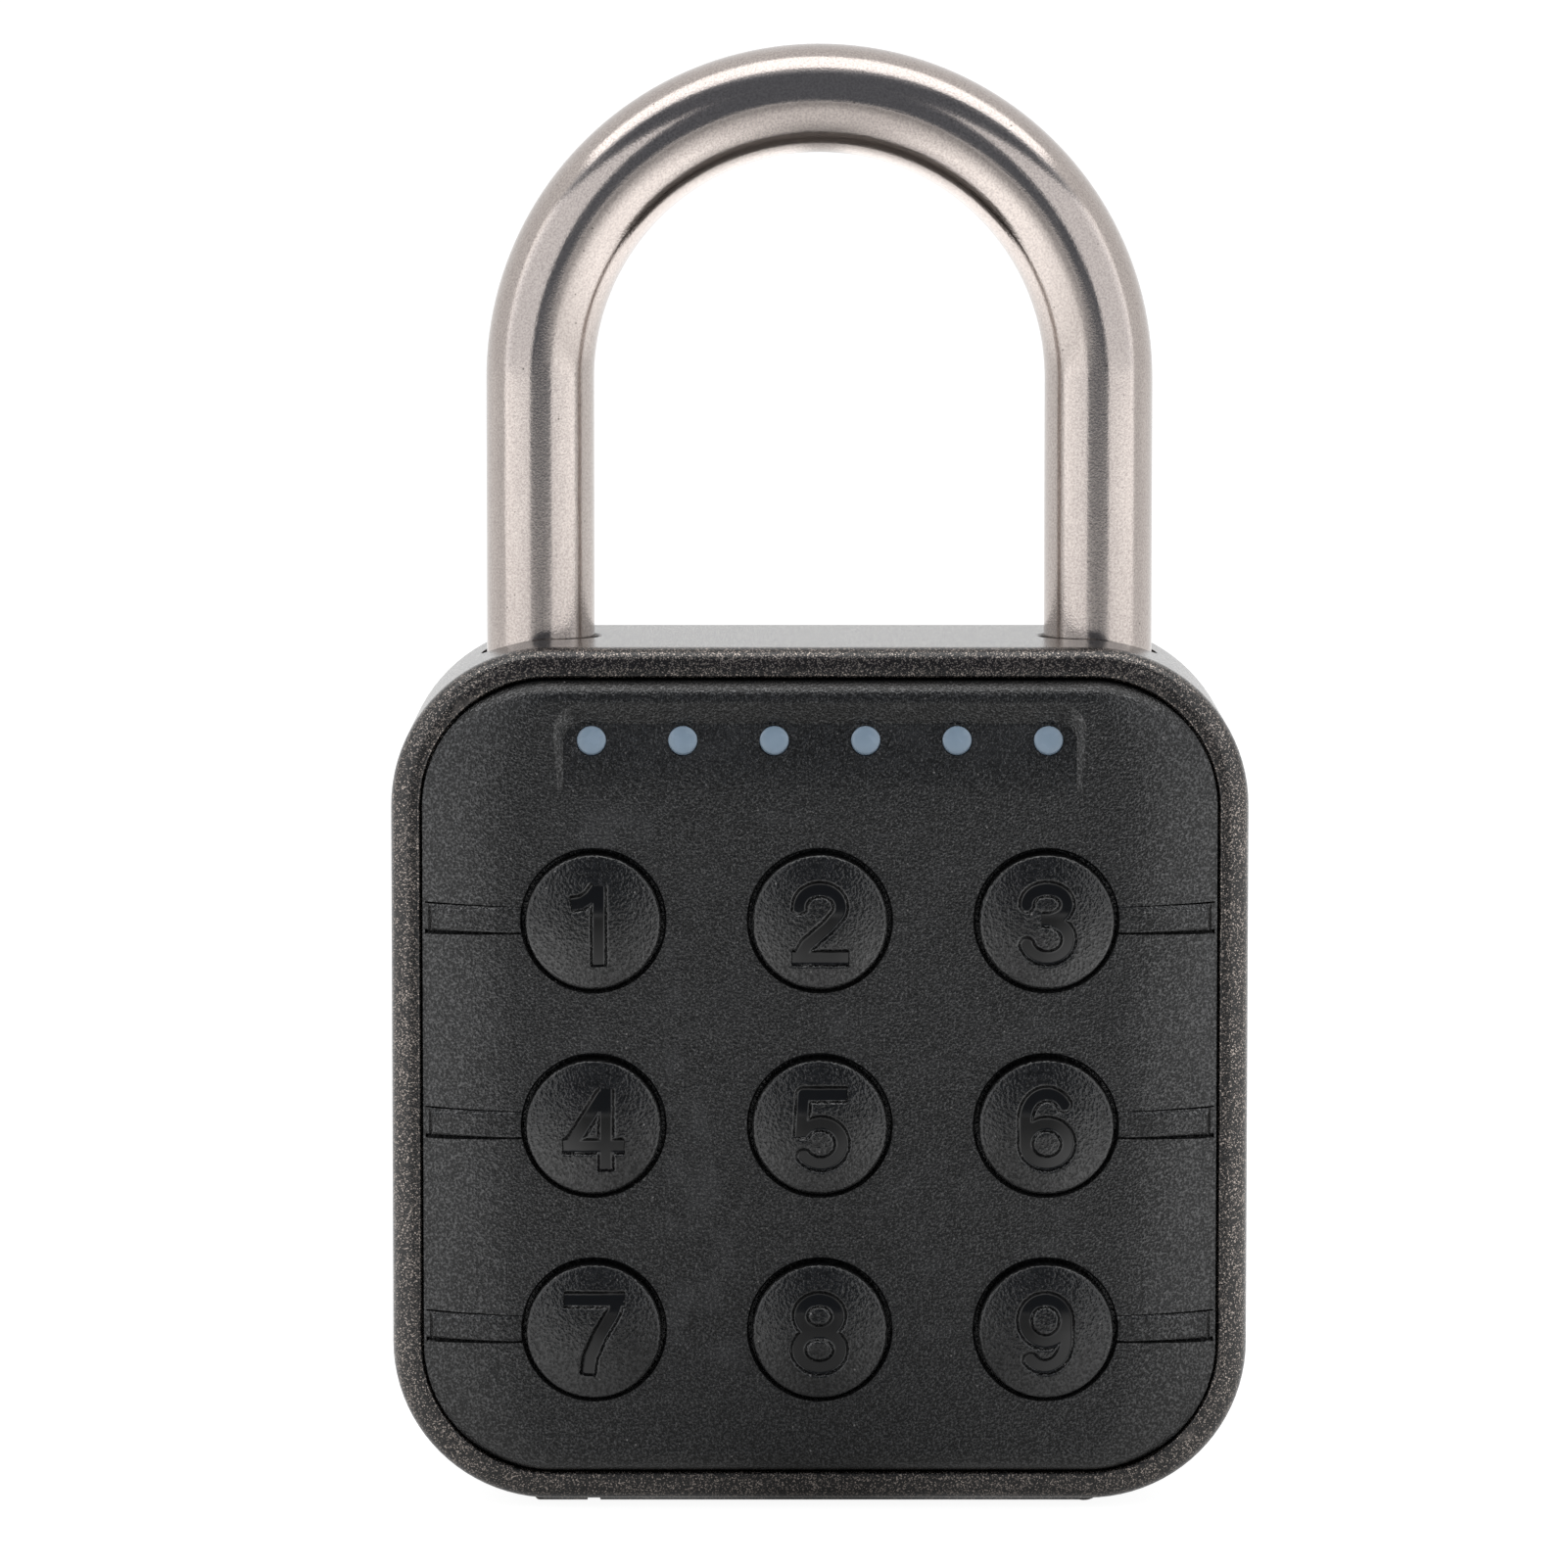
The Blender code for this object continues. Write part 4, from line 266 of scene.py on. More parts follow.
# Digit strokes: points and arcs of their centre lines, as shares of the digit's height
DIGIT_STROKES = {
    1: [[(0.065, 0.44), (0.065, -0.5)], [(-0.26, 0.225), (-0.13, 0.245), (-0.03, 0.31), (0.05, 0.42)]],
    2: [
        [(-0.24, 0.14), (0.0, 0.195, 0.24, 0.205, 180, -25), (0.1, -0.03), (-0.15, -0.25), (-0.24, -0.405)],
        [(-0.33, -0.405), (0.34, -0.405)],
    ],
    3: [
        [(0.0, 0.225, 0.235, 0.18, 190, -78)],
        [(-0.06, 0.045), (0.1, 0.045)],
        [(0.005, -0.185, 0.25, 0.22, 78, -172)],
    ],
    4: [[(0.145, 0.47), (0.145, -0.5)], [(0.12, 0.41), (-0.27, -0.2)], [(-0.36, -0.205), (0.36, -0.205)]],
    5: [[(0.32, 0.4), (-0.19, 0.4), (-0.22, -0.1)], [(0.01, -0.175, 0.25, 0.24, 152, -150)]],
    6: [[(0.005, -0.175, 0.25, 0.235, 0, 360)], [(-0.245, -0.175), (0.005, 0.11, 0.25, 0.3, 180, 28)]],
    7: [
        [(-0.35, 0.39), (0.36, 0.39)],
        [(0.28, 0.39), (0.22, 0.22), (0.07, -0.03), (-0.04, -0.28), (-0.07, -0.5)],
    ],
    8: [[(-0.005, 0.2, 0.225, 0.195, 0, 360)], [(-0.005, -0.2, 0.245, 0.21, 0, 360)]],
    9: [[(-0.005, 0.145, 0.245, 0.25, 0, 360)], [(0.24, 0.145), (-0.01, -0.08, 0.25, 0.32, 0, -140)]],
}

# Places read from the CAD nodes
shell_low, shell_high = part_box("body_shell")
shackle_low, shackle_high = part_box("shackle")
door_low, door_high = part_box("battery_door")
RIM_Y = shell_low.y
BACK_Y = shell_high.y
MIDDLE_Z = (shell_low.z + shell_high.z) / 2
SHELL_HALF_X = (shell_high.x - shell_low.x) / 2
SHELL_HALF_Z = (shell_high.z - shell_low.z) / 2
PANEL_HALF_X = SHELL_HALF_X - SHELL_WALL - PANEL_GAP
PANEL_HALF_Z = SHELL_HALF_Z - SHELL_WALL - PANEL_GAP
PANEL_CORNER = SHELL_CORNER - SHELL_WALL - PANEL_GAP
PANEL_Y = RIM_Y - PANEL_PROUD
SIDE_ARC_RADIUS = (PANEL_SIDE_ROLL**2 + PANEL_RISE**2) / (2 * PANEL_RISE)
LEG_Y = (shackle_low.y + shackle_high.y) / 2
LEG_X = shackle_high.x - BAR_RADIUS
LAMP_Z = shell_high.z - LAMP_BELOW_TOP
LAMP_MIDDLES = [(index - (LAMP_COUNT - 1) / 2) * LAMP_PITCH for index in range(LAMP_COUNT)]
POCKET_TOP = shell_high.z - POCKET_BELOW_TOP
POCKET_BOTTOM = POCKET_TOP - POCKET_HEIGHT
BUTTON_MIDDLES = {}
for number in range(1, 10):
    low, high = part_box(f"button_{number}")
    BUTTON_MIDDLES[number] = ((low.x + high.x) / 2, (low.z + high.z) / 2)
RIB_INNER_X = BUTTON_MIDDLES[3][0] + BUTTON_RADIUS
RIB_OUTER_X = PANEL_HALF_X - RIB_OUTER_FROM_EDGE
RIB_PLACES = [(side, BUTTON_MIDDLES[number][1]) for side in (-1, 1) for number in RIB_BUTTONS]


def linear(hex_colour):
    """An sRGB hex colour as linear red, green, blue and alpha."""
    parts = [int(hex_colour[place : place + 2], 16) / 255 for place in (1, 3, 5)]
    return tuple(c / 12.92 if c <= 0.04045 else ((c + 0.055) / 1.055) ** 2.4 for c in parts) + (1.0,)


def feed(tree, node, inputs):
    """Sets a node's inputs, each from a value, an output, or the first output in use of a node."""
    for name, value in inputs.items():
        if isinstance(value, bpy.types.Node):
            value = next(output for output in value.outputs if output.enabled)
        if isinstance(value, bpy.types.NodeSocket):
            tree.links.new(value, node.inputs[name])
        else:
            node.inputs[name].default_value = value


def add(tree, kind, inputs=None, **settings):
    """Adds a node with its settings and links."""
    node = tree.nodes.new("ShaderNode" + kind)
    for name, value in settings.items():
        setattr(node, name, value)
    feed(tree, node, inputs or {})
    return node


def new_finish(name):
    """A new material, its node tree, its shader and its object coordinates in metres."""
    material = bpy.data.materials.new(name)
    material.use_nodes = True
    tree = material.node_tree
    place = add(tree, "TexCoord").outputs["Object"]
    return material, tree, tree.nodes["Principled BSDF"], place


def rubbed(tree, place, colour, bare):
    """The colour rubbed towards a barer one along outward edges, more in some spots."""
    edges = add(tree, "NewGeometry").outputs["Pointiness"]
    ridge = add(tree, "MapRange", {"Value": edges, "From Min": 0.52, "From Max": 0.6, "To Max": 0.8})
    touch = add(tree, "TexNoise", {"Vector": place, "Scale": 1 / HANDLED_SPOTS, "Detail": 3.0})
    spots = add(tree, "MapRange", {"Value": touch, "From Min": 0.42, "From Max": 0.62})
    worn = add(tree, "Math", {0: ridge, 1: spots}, operation="MULTIPLY")
    return add(tree, "Mix", {0: worn, 6: colour, 7: linear(bare)}, data_type="RGBA")


def specked(tree, place, colour, speck_colour):
    """The colour with a few small specks of another: dust and nicks on plastic, pits in steel."""
    cells = add(tree, "TexVoronoi", {"Vector": place, "Scale": 1 / SPECK_SPACING})
    speck = add(tree, "MapRange", {"Value": cells, "From Min": 0.14, "From Max": 0.07})
    chance = add(tree, "SeparateColor", {"Color": cells.outputs["Color"]})
    strength = add(tree, "MapRange", {"Value": chance, "From Min": 0.8, "From Max": 1.0})
    seen = add(tree, "Math", {0: speck, 1: strength}, operation="MULTIPLY")
    return add(tree, "Mix", {0: seen, 6: colour, 7: linear(speck_colour)}, data_type="RGBA")


def coated_zinc():
    """Zinc die casting under a dark baked sand coat: a glossy fine grain in which flakes glint."""
    material, tree, shader, place = new_finish("coated_zinc")
    sand = {"Scale": 1 / COAT_GRAIN, "Detail": 1.0, "Roughness": 0.6}
    grain = add(tree, "TexNoise", {"Vector": place, **sand})
    clouds = add(tree, "TexNoise", {"Vector": place, "Scale": 1 / COAT_CLOUDS, "Detail": 3.0})
    flakes = add(tree, "TexVoronoi", {"Vector": place, "Scale": 1 / COAT_FLAKES})
    chance = add(tree, "SeparateColor", {"Color": flakes.outputs["Color"]})
    clumps = {"Value": clouds, "From Min": 0.35, "From Max": 0.65, "To Min": 0.78, "To Max": 0.65}
    least = add(tree, "MapRange", clumps)
    glint = add(tree, "MapRange", {"Value": chance, "From Min": least, "From Max": 1.0})
    coat = add(tree, "Mix", {0: grain, 6: linear("#060505"), 7: linear("#1a1716")}, data_type="RGBA")
    flecked = add(tree, "Mix", {0: glint, 6: coat, 7: linear("#b0a59d")}, data_type="RGBA")
    gloss = {"Value": grain, "From Min": 0.35, "From Max": 0.65, "To Min": 0.24, "To Max": 0.15}
    surface = {
        "Base Color": rubbed(tree, place, flecked, "#6b6561"),
        "Metallic": glint,
        "Roughness": add(tree, "MapRange", gloss),
        "IOR": 1.5,
        "Normal": add(tree, "Bump", {"Height": grain, "Distance": 0.02 * MM}),
    }
    feed(tree, shader, surface)
    return material


def textured_abs():
    """Black ABS from a spark-eroded mould: a leathery fine grain that glints on the turns."""
    material, tree, shader, place = new_finish("textured_abs")
    leather = {"Scale": 1 / PANEL_GRAIN, "Detail": 1.0, "Distortion": 0.4}
    grain = add(tree, "TexNoise", {"Vector": place, **leather})
    flow = add(tree, "TexNoise", {"Vector": place, "Scale": 1 / PANEL_FLOW, "Detail": 2.0})
    # Painted glint: the grain's peaks are painted paler than its valleys; their higher specular level
    # stands in for the shade in the valleys' pits
    painted_glint_peaks = add(tree, "MapRange", {"Value": grain, "From Min": 0.44, "From Max": 0.7})
    tone = add(tree, "Mix", {0: flow, 6: linear("#181819"), 7: linear("#1e1e1f")}, data_type="RGBA")
    colour = add(tree, "Mix", {0: painted_glint_peaks, 6: linear("#080808"), 7: tone}, data_type="RGBA")
    dusted = specked(tree, place, colour, "#8c8987")
    surface = {
        "Base Color": rubbed(tree, place, dusted, "#2c2c2d"),
        "Roughness": add(tree, "MapRange", {"Value": painted_glint_peaks, "To Min": 0.3, "To Max": 0.16}),
        "IOR": 1.51,
        "Specular IOR Level": add(tree, "MapRange", {"Value": painted_glint_peaks, "To Min": 0.34, "To Max": 1.0}),
        "Normal": add(tree, "Bump", {"Height": grain, "Distance": 0.055 * MM}),
    }
    feed(tree, shader, surface)
    return material


def satin_abs():
    """Black ABS from a smoother mould: a satin key whose faint grain glints where it turns up."""
    material, tree, shader, place = new_finish("satin_abs")
    grain = add(tree, "TexNoise", {"Vector": place, "Scale": 1 / BUTTON_GRAIN, "Detail": 1.0})
    handling = add(tree, "TexNoise", {"Vector": place, "Scale": 1 / BUTTON_HANDLING, "Detail": 2.0})
    # Painted glint: the grain's peaks are painted paler than its valleys; their higher specular level
    # stands in for the shade in the valleys' pits
    painted_glint_peaks = add(tree, "MapRange", {"Value": grain, "From Min": 0.36, "From Max": 0.64})
    colour = add(tree, "Mix", {0: painted_glint_peaks, 6: linear("#090909"), 7: linear("#101011")}, data_type="RGBA")
    dusted = specked(tree, place, colour, "#8c8987")
    gloss = {"Value": handling, **NOISE_SPAN, "To Min": 0.14, "To Max": 0.2}
    surface = {
        "Base Color": rubbed(tree, place, dusted, "#2c2c2d"),
        "Roughness": add(tree, "MapRange", gloss),
        "IOR": 1.5,
        "Specular IOR Level": add(tree, "MapRange", {"Value": painted_glint_peaks, "To Min": 0.42, "To Max": 0.76}),
        "Normal": add(tree, "Bump", {"Height": grain, "Distance": 0.06 * MM}),
    }
    feed(tree, shader, surface)
    return material


def polished_abs():
    """The polished floor of the moulded numbers: the same black ABS, mirror smooth."""
    material, tree, shader, place = new_finish("polished_abs")
    haze = add(tree, "TexNoise", {"Vector": place, "Scale": 1 / DIGIT_HAZE, "Detail": 2.0})
    colour = add(tree, "Mix", {0: haze, 6: linear("#040405"), 7: linear("#070708")}, data_type="RGBA")
    gloss = {"Value": haze, **NOISE_SPAN, "To Min": 0.07, "To Max": 0.12}
    surface = {
        "Base Color": rubbed(tree, place, colour, "#1c1c1d"),
        "Roughness": add(tree, "MapRange", gloss),
        "IOR": 1.5,
    }
    feed(tree, shader, surface)
    return material


def milky_acrylic():
    """Milky acrylic of the light guide: a pale blue-grey that lets light a little way in."""
    material, tree, shader, place = new_finish("milky_acrylic")
    swirl = add(tree, "TexNoise", {"Vector": place, "Scale": 1 / GUIDE_SWIRL, "Detail": 2.0})
    colour = add(tree, "Mix", {0: swirl, 6: linear("#95abbe"), 7: linear("#aabdcf")}, data_type="RGBA")
    gloss = {"Value": swirl, **NOISE_SPAN, "To Min": 0.2, "To Max": 0.3}
    surface = {
        "Base Color": rubbed(tree, place, colour, "#bccad6"),
        "Roughness": add(tree, "MapRange", gloss),
        "IOR": 1.49,
        "Subsurface Weight": 0.25,
        "Subsurface Radius": (0.6 * MM, 0.7 * MM, 0.8 * MM),
        "Subsurface Scale": 1.0,
    }
    feed(tree, shader, surface)
    return material


def polished_stainless():
    """Stainless bar, bent and then polished along its length, with hair-fine polishing lines."""
    material, tree, shader, place = new_finish("polished_stainless")
    along = add(tree, "UVMap", uv_map="bar")
    stretched = add(tree, "Mapping", {"Vector": along, "Scale": BAR_LINE_UNITS})
    hairs = {"Scale": BAR_LINES_TO_A_UNIT, "Detail": 4.0, "Roughness": 0.6}
    lines = add(tree, "TexNoise", {"Vector": stretched, **hairs})
    grain = add(tree, "TexNoise", {"Vector": place, "Scale": 1 / BAR_GRAIN, "Detail": 3.0})
    cloud = add(tree, "TexNoise", {"Vector": place, "Scale": 1 / BAR_CLOUDS, "Detail": 2.0})
    pale = add(tree, "Mix", {0: cloud, 6: linear("#b1a8a3"), 7: linear("#bfb6b0")}, data_type="RGBA")
    worked = add(tree, "MapRange", {"Value": grain, "From Min": 0.32, "From Max": 0.62})
    colour = add(tree, "Mix", {0: worked, 6: linear("#a09793"), 7: pale}, data_type="RGBA")
    pitted = specked(tree, place, colour, "#4a4543")
    gloss = {"Value": lines, **NOISE_SPAN, "To Min": 0.09, "To Max": 0.18}
    bump = add(tree, "Bump", {"Height": lines, "Strength": 0.12, "Distance": 0.02 * MM})
    surface = {
        "Base Color": rubbed(tree, place, pitted, "#d3ccc7"),
        "Metallic": 1.0,
        "Roughness": add(tree, "MapRange", gloss),
        "Normal": add(tree, "Bump", {"Height": grain, "Distance": 0.005 * MM, "Normal": bump}),
    }
    feed(tree, shader, surface)
    return material


def hidden_finish(name, dark, pale, grain_size, smoothest, roughest, relief=0.01 * MM, metallic=0.0):
    """A finish for hidden works: two close tones in a grain, with uneven gloss and relief."""
    material, tree, shader, place = new_finish(name)
    grain = add(tree, "TexNoise", {"Vector": place, "Scale": 1 / grain_size, "Detail": 4.0})
    colour = add(tree, "Mix", {0: grain, 6: linear(dark), 7: linear(pale)}, data_type="RGBA")
    gloss = {"Value": grain, **NOISE_SPAN, "To Min": smoothest, "To Max": roughest}
    surface = {
        "Base Color": rubbed(tree, place, colour, pale),
        "Metallic": metallic,
        "Roughness": add(tree, "MapRange", gloss),
        "Normal": add(tree, "Bump", {"Height": grain, "Strength": 0.4, "Distance": relief}),
    }
    feed(tree, shader, surface)
    return material


COATED_ZINC = coated_zinc()
TEXTURED_ABS = textured_abs()
SATIN_ABS = satin_abs()
POLISHED_ABS = polished_abs()
MILKY_ACRYLIC = milky_acrylic()
POLISHED_STAINLESS = polished_stainless()
# Zinc as it leaves the mould: dull grey and a little mealy
CAST_ZINC = hidden_finish("cast_zinc", "#8f8f91", "#b4b4b5", 0.5 * MM, 0.35, 0.5, 0.03 * MM, metallic=1.0)
# Steel under clear zinc plating: an even, bright bluish silver
PLATED_STEEL = hidden_finish("zinc_plated_steel", "#a9abae", "#c9cbcc", 0.8 * MM, 0.22, 0.34, metallic=1.0)
# Hard-drawn wire: greyer and smoother from the die
SPRING_STEEL = hidden_finish("drawn_spring_steel", "#8b8a88", "#a9a8a5", 0.3 * MM, 0.2, 0.3, metallic=1.0)
# Brass from rolled sheet or bar: warm yellow with a soft shine
ROLLED_BRASS = hidden_finish("rolled_brass", "#c2a15b", "#dcc07c", 0.6 * MM, 0.22, 0.34, metallic=1.0)
# Moulded nitrile rubber: matt black
NITRILE_RUBBER = hidden_finish("nitrile_rubber", "#161616", "#232323", 0.25 * MM, 0.6, 0.75, 0.03 * MM)
# Printed solder mask over the board's weave: glossy dark green
SOLDER_MASK = hidden_finish("green_solder_mask", "#12492b", "#1c5c38", 1.4 * MM, 0.25, 0.38, 0.02 * MM)
# Glass-filled moulded nylon: dull off-black
SWITCH_NYLON = hidden_finish("black_switch_nylon", "#1f1f1f", "#2c2c2c", 0.2 * MM, 0.42, 0.55, 0.02 * MM)
# Moulded acetal: waxy off-white
PLUNGER_ACETAL = hidden_finish("white_acetal", "#d4d1c9", "#e6e3dc", 0.4 * MM, 0.3, 0.42)
# Fired ceramic of the lamp chips: cream with a low shine
LAMP_CERAMIC = hidden_finish("lamp_ceramic", "#dad6c8", "#ece9de", 0.3 * MM, 0.3, 0.45)
# Heat-shrunk film round the cell: glossy dark blue
CELL_FILM = hidden_finish("shrunk_cell_film", "#2d3550", "#3c4666", 1.2 * MM, 0.18, 0.3, 0.02 * MM)


def piece(name, bm, materials, sharp_degrees=SHARP_DEGREES):
    """A shown object from mesh code, smooth but for its real edges."""
    bmesh.ops.recalc_face_normals(bm, faces=bm.faces)
    mesh = bpy.data.meshes.new(name)
    bm.to_mesh(mesh)
    bm.free()
    obj = bpy.data.objects.new(name, mesh)
    bpy.context.scene.collection.objects.link(obj)
    for material in materials:
        mesh.materials.append(material)
    mesh.shade_smooth()
    mesh.set_sharp_from_angle(angle=math.radians(sharp_degrees))
    return obj


def carve(obj, bm, operation="DIFFERENCE"):
    """Cuts or joins a scratch solid into a piece for good."""
    cutter = piece("scratch_solid", bm, [])
    modifier = obj.modifiers.new("carve", "BOOLEAN")
    modifier.operation = operation
    modifier.solver = "MANIFOLD"
    modifier.object = cutter
    graph = bpy.context.evaluated_depsgraph_get()
    result = bpy.data.meshes.new_from_object(obj.evaluated_get(graph))
    old = obj.data
    obj.modifiers.clear()
    obj.data = result
    result.name = obj.name
    bpy.data.meshes.remove(old)
    spent = cutter.data
    bpy.data.objects.remove(cutter, do_unlink=True)
    bpy.data.meshes.remove(spent)


def even_shading(obj, sharp_degrees=SHARP_DEGREES):
    """Settles the normals after carving: flat faces stay flat beside their rounded edges."""
    obj.data.shade_smooth()
    obj.data.set_sharp_from_angle(angle=math.radians(sharp_degrees))
    modifier = obj.modifiers.new("even_shading", "WEIGHTED_NORMAL")
    modifier.keep_sharp = True
    modifier.weight = 100


def turn_angles(steps, degrees=90, first=0):
    """The angles of a turn in even steps, both ends included, in radians."""
    return [math.radians(first + degrees * step / steps) for step in range(steps + 1)]


def band(bm, row, following):
    """Joins two rings of points with a band of faces."""
    faces = []
    for index in range(len(row)):
        after = (index + 1) % len(row)
        faces.append(bm.faces.new((row[index], row[after], following[after], following[index])))
    return faces


def solids(skins):
    """A mesh of closed solids, the skin of each running through rings of equal count."""
    bm = bmesh.new()
    for rings in skins:
        rows = [[bm.verts.new(point) for point in ring] for ring in rings]
        for row, following in zip(rows, rows[1:]):
            band(bm, row, following)
        bm.faces.new(rows[0])
        bm.faces.new(list(reversed(rows[-1])))
    return bm


def rounded_ring(half_x, half_z, round_x, round_z, y):
    """Points round the body's outline at a depth, with rounded corners."""
    points = []
    for corner, (side_x, side_z) in enumerate([(1, 1), (-1, 1), (-1, -1), (1, -1)]):
        for step in range(CORNER_STEPS + 1):
            angle = math.radians(90 * (corner + step / CORNER_STEPS))
            x = side_x * (half_x - round_x) + round_x * math.cos(angle)
            z = MIDDLE_Z + side_z * (half_z - round_z) + round_z * math.sin(angle)
            points.append((x, y, z))
    return points


def shell_ring(inset, depth):
    """The shell's outline, drawn in by an inset, at a depth behind its rim."""
    corner = SHELL_CORNER - inset
    return rounded_ring(SHELL_HALF_X - inset, SHELL_HALF_Z - inset, corner, corner, RIM_Y + depth)


def panel_ring(inset_x, inset_z, depth):
    """The panel's outline, drawn in at its sides and its ends, at a depth behind the rim."""
    halves = (PANEL_HALF_X - inset_x, PANEL_HALF_Z - inset_z)
    rounds = (PANEL_CORNER - inset_x, PANEL_CORNER - inset_z)
    return rounded_ring(*halves, *rounds, RIM_Y + depth)


def turned_rings(profile, middle, facing, sides):
    """Rings of a turned form: (radius, height) pairs about an axis through its middle."""
    first, second, axis = TURNING_AXES[facing]
    rings = []
    for radius, height in profile:
        ring = []
        for side in range(sides):
            angle = 2 * math.pi * side / sides
            around = first * math.cos(angle) + second * math.sin(angle)
            ring.append(Vector(middle) + around * radius + axis * height)
        rings.append(ring)
    return rings


def block(bm, low, high, edge=0.0, edge_steps=2):
    """Adds a block between two corners, its edges rounded where an edge is given."""
    made = bmesh.ops.create_cube(bm, size=1.0)["verts"]
    for vertex in made:
        for axis in range(3):
            vertex.co[axis] = high[axis] if vertex.co[axis] > 0 else low[axis]
    if edge:
        edges = list({e for v in made for e in v.link_edges})
        bmesh.ops.bevel(bm, geom=edges, offset=edge, segments=edge_steps, profile=0.5, affect="EDGES")


def shell_round(inset_start, depth_start, inset_end, depth_end, turns_first):
    """The shell's rings over a quarter round, turning first along the inset or the depth."""
    rings = []
    for angle in turn_angles(ROUND_STEPS):
        early, late = math.sin(angle), 1 - math.cos(angle)
        share_inset, share_depth = (early, late) if turns_first == "inset" else (late, early)
        inset = inset_start + (inset_end - inset_start) * share_inset
        depth = depth_start + (depth_end - depth_start) * share_depth
        rings.append(shell_ring(inset, depth))
    return rings


def make_shell():
    """The die-cast cup with its rounded rim, leg holes and door opening."""
    depth = BACK_Y - RIM_Y
    rings = shell_round(BACK_ROUND, depth, 0, depth - BACK_ROUND, "inset")
    rings += shell_round(0, RIM_OUTER_ROUND, RIM_OUTER_ROUND, 0, "depth")
    rings += shell_round(SHELL_WALL - RIM_INNER_ROUND, 0, SHELL_WALL, RIM_INNER_ROUND, "inset")
    rings.append(shell_ring(SHELL_WALL, LEDGE_DEPTH))
    rings.append(shell_ring(SHELL_WALL + LEDGE_WIDTH, LEDGE_DEPTH))
    rings.append(shell_ring(SHELL_WALL + LEDGE_WIDTH, depth - SHELL_BACK_WALL))
    shell = piece("coated_body", solids([rings]), [COATED_ZINC])
    top = shell_high.z
    radius = BAR_RADIUS + LEG_HOLE_GAP
    profile = [(radius, top - 2 * SHELL_WALL - OVERRUN)]
    for angle in turn_angles(EDGE_STEPS):
        widened = LEG_HOLE_EDGE * (1 - math.cos(angle))
        profile.append((radius + widened, top - LEG_HOLE_EDGE * (1 - math.sin(angle))))
    profile.append((radius + LEG_HOLE_EDGE, top + OVERRUN))
    cuts = solids([turned_rings(profile, (x, LEG_Y, 0), "Z", BAR_SIDES) for x in (-LEG_X, LEG_X)])
    low = (door_low.x - PANEL_GAP, door_low.y - PANEL_GAP, -OVERRUN)
    high = (door_high.x + PANEL_GAP, door_high.y + PANEL_GAP, shell_low.z + 2 * SHELL_WALL + OVERRUN)
    block(cuts, low, high)
    carve(shell, cuts)
    even_shading(shell)
    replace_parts(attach(shell, "case"), "body_shell")


def side_inset(drop):
    """How far in from the panel's side its rolled face has risen to a drop."""
    return PANEL_SIDE_ROLL - math.sqrt(max(0.0, drop * (2 * SIDE_ARC_RADIUS - drop)))


def end_inset(drop):
    """The same along the panel's top and bottom, where the rounding is tight."""
    return PANEL_END_ROLL * (1 - math.sqrt(max(0.0, 1 - (1 - drop / PANEL_RISE) ** 2)))


def side_drop(inset):
    """How far the rolled face has fallen at a distance in from the panel's side."""
    reach = max(0.0, PANEL_SIDE_ROLL - inset)
    return SIDE_ARC_RADIUS - math.sqrt(SIDE_ARC_RADIUS**2 - reach**2)


def rib_size(share):
    """A rib's rise and half its height at a share of its length, counted from the buttons."""
    rise = RIB_INNER_RISE + (RIB_OUTER_RISE - RIB_INNER_RISE) * share
    half = (RIB_INNER_HEIGHT + (RIB_OUTER_HEIGHT - RIB_INNER_HEIGHT) * share) / 2
    return rise, half


def rib_rings(side, z):
    """Rings of a bar with sloped sides, prouder and narrower as it goes out, and softly edged."""
    shoulder = RIB_EDGE * math.tan(math.radians(RIB_SIDE_TURN_DEGREES / 2))

    def section(x, top, half, foot):
        near = []
        for angle in turn_angles(RIB_EDGE_STEPS, RIB_SIDE_TURN_DEGREES):
            across = half - shoulder + RIB_EDGE * math.sin(angle)
            near.append((across, top + RIB_EDGE * (1 - math.cos(angle))))
        run = foot - top
        below = near + [(half + RIB_LOWER_RUN * run, foot)]
        above = near + [(half + RIB_UPPER_RUN * run, foot)]
        points = [(side * x, depth, z - across) for across, depth in reversed(below)]
        return points + [(side * x, depth, z + across) for across, depth in above]

    rings = []
    for step in range(RIB_STEPS + 1):
        share = step / RIB_STEPS
        x = RIB_INNER_X + (RIB_OUTER_X - RIB_EDGE - RIB_INNER_X) * share
        rise, half = rib_size(share)
        top = PANEL_Y + side_drop(PANEL_HALF_X - x) - rise
        rings.append(section(x, top, half, top + RIB_ROOT))
    for angle in turn_angles(RIB_EDGE_STEPS, RIB_END_TURN_DEGREES)[1:]:
        fall = RIB_EDGE * (1 - math.cos(angle))
        rings.append(section(x + RIB_EDGE * math.sin(angle), top + fall, half + fall, top + RIB_ROOT))
    fall = RIB_ROOT - RIB_EDGE
    rings.append(section(x + RIB_EDGE + RIB_END_SLOPE, top + fall, half + fall, top + RIB_ROOT))
    return rings


def crease_rings(side, z, facing):
    """Rings of a fine groove at a rib's foot, above it or below, that narrows inwards."""
    outer = RIB_OUTER_X + RIB_END_SLOPE
    width = CREASE_UPPER_WIDTH if facing > 0 else CREASE_LOWER_WIDTH
    run = RIB_UPPER_RUN if facing > 0 else RIB_LOWER_RUN
    rings = []
    for step in range(RIB_STEPS + 1):
        share = step / RIB_STEPS
        x = RIB_INNER_X + (outer - RIB_INNER_X) * share
        rise, half = rib_size(share)
        growth = CREASE_INNER_SHARE + (1 - CREASE_INNER_SHARE) * share
        reach = width * growth
        depth = CREASE_DEPTH * growth
        middle = z + facing * (half + run * rise)
        face_y = PANEL_Y + side_drop(PANEL_HALF_X - x)
        foot = [(side * x, face_y - depth, middle + way * reach) for way in (-1, 1)]
        rings.append(foot + [(side * x, face_y + depth, middle)])
    return rings


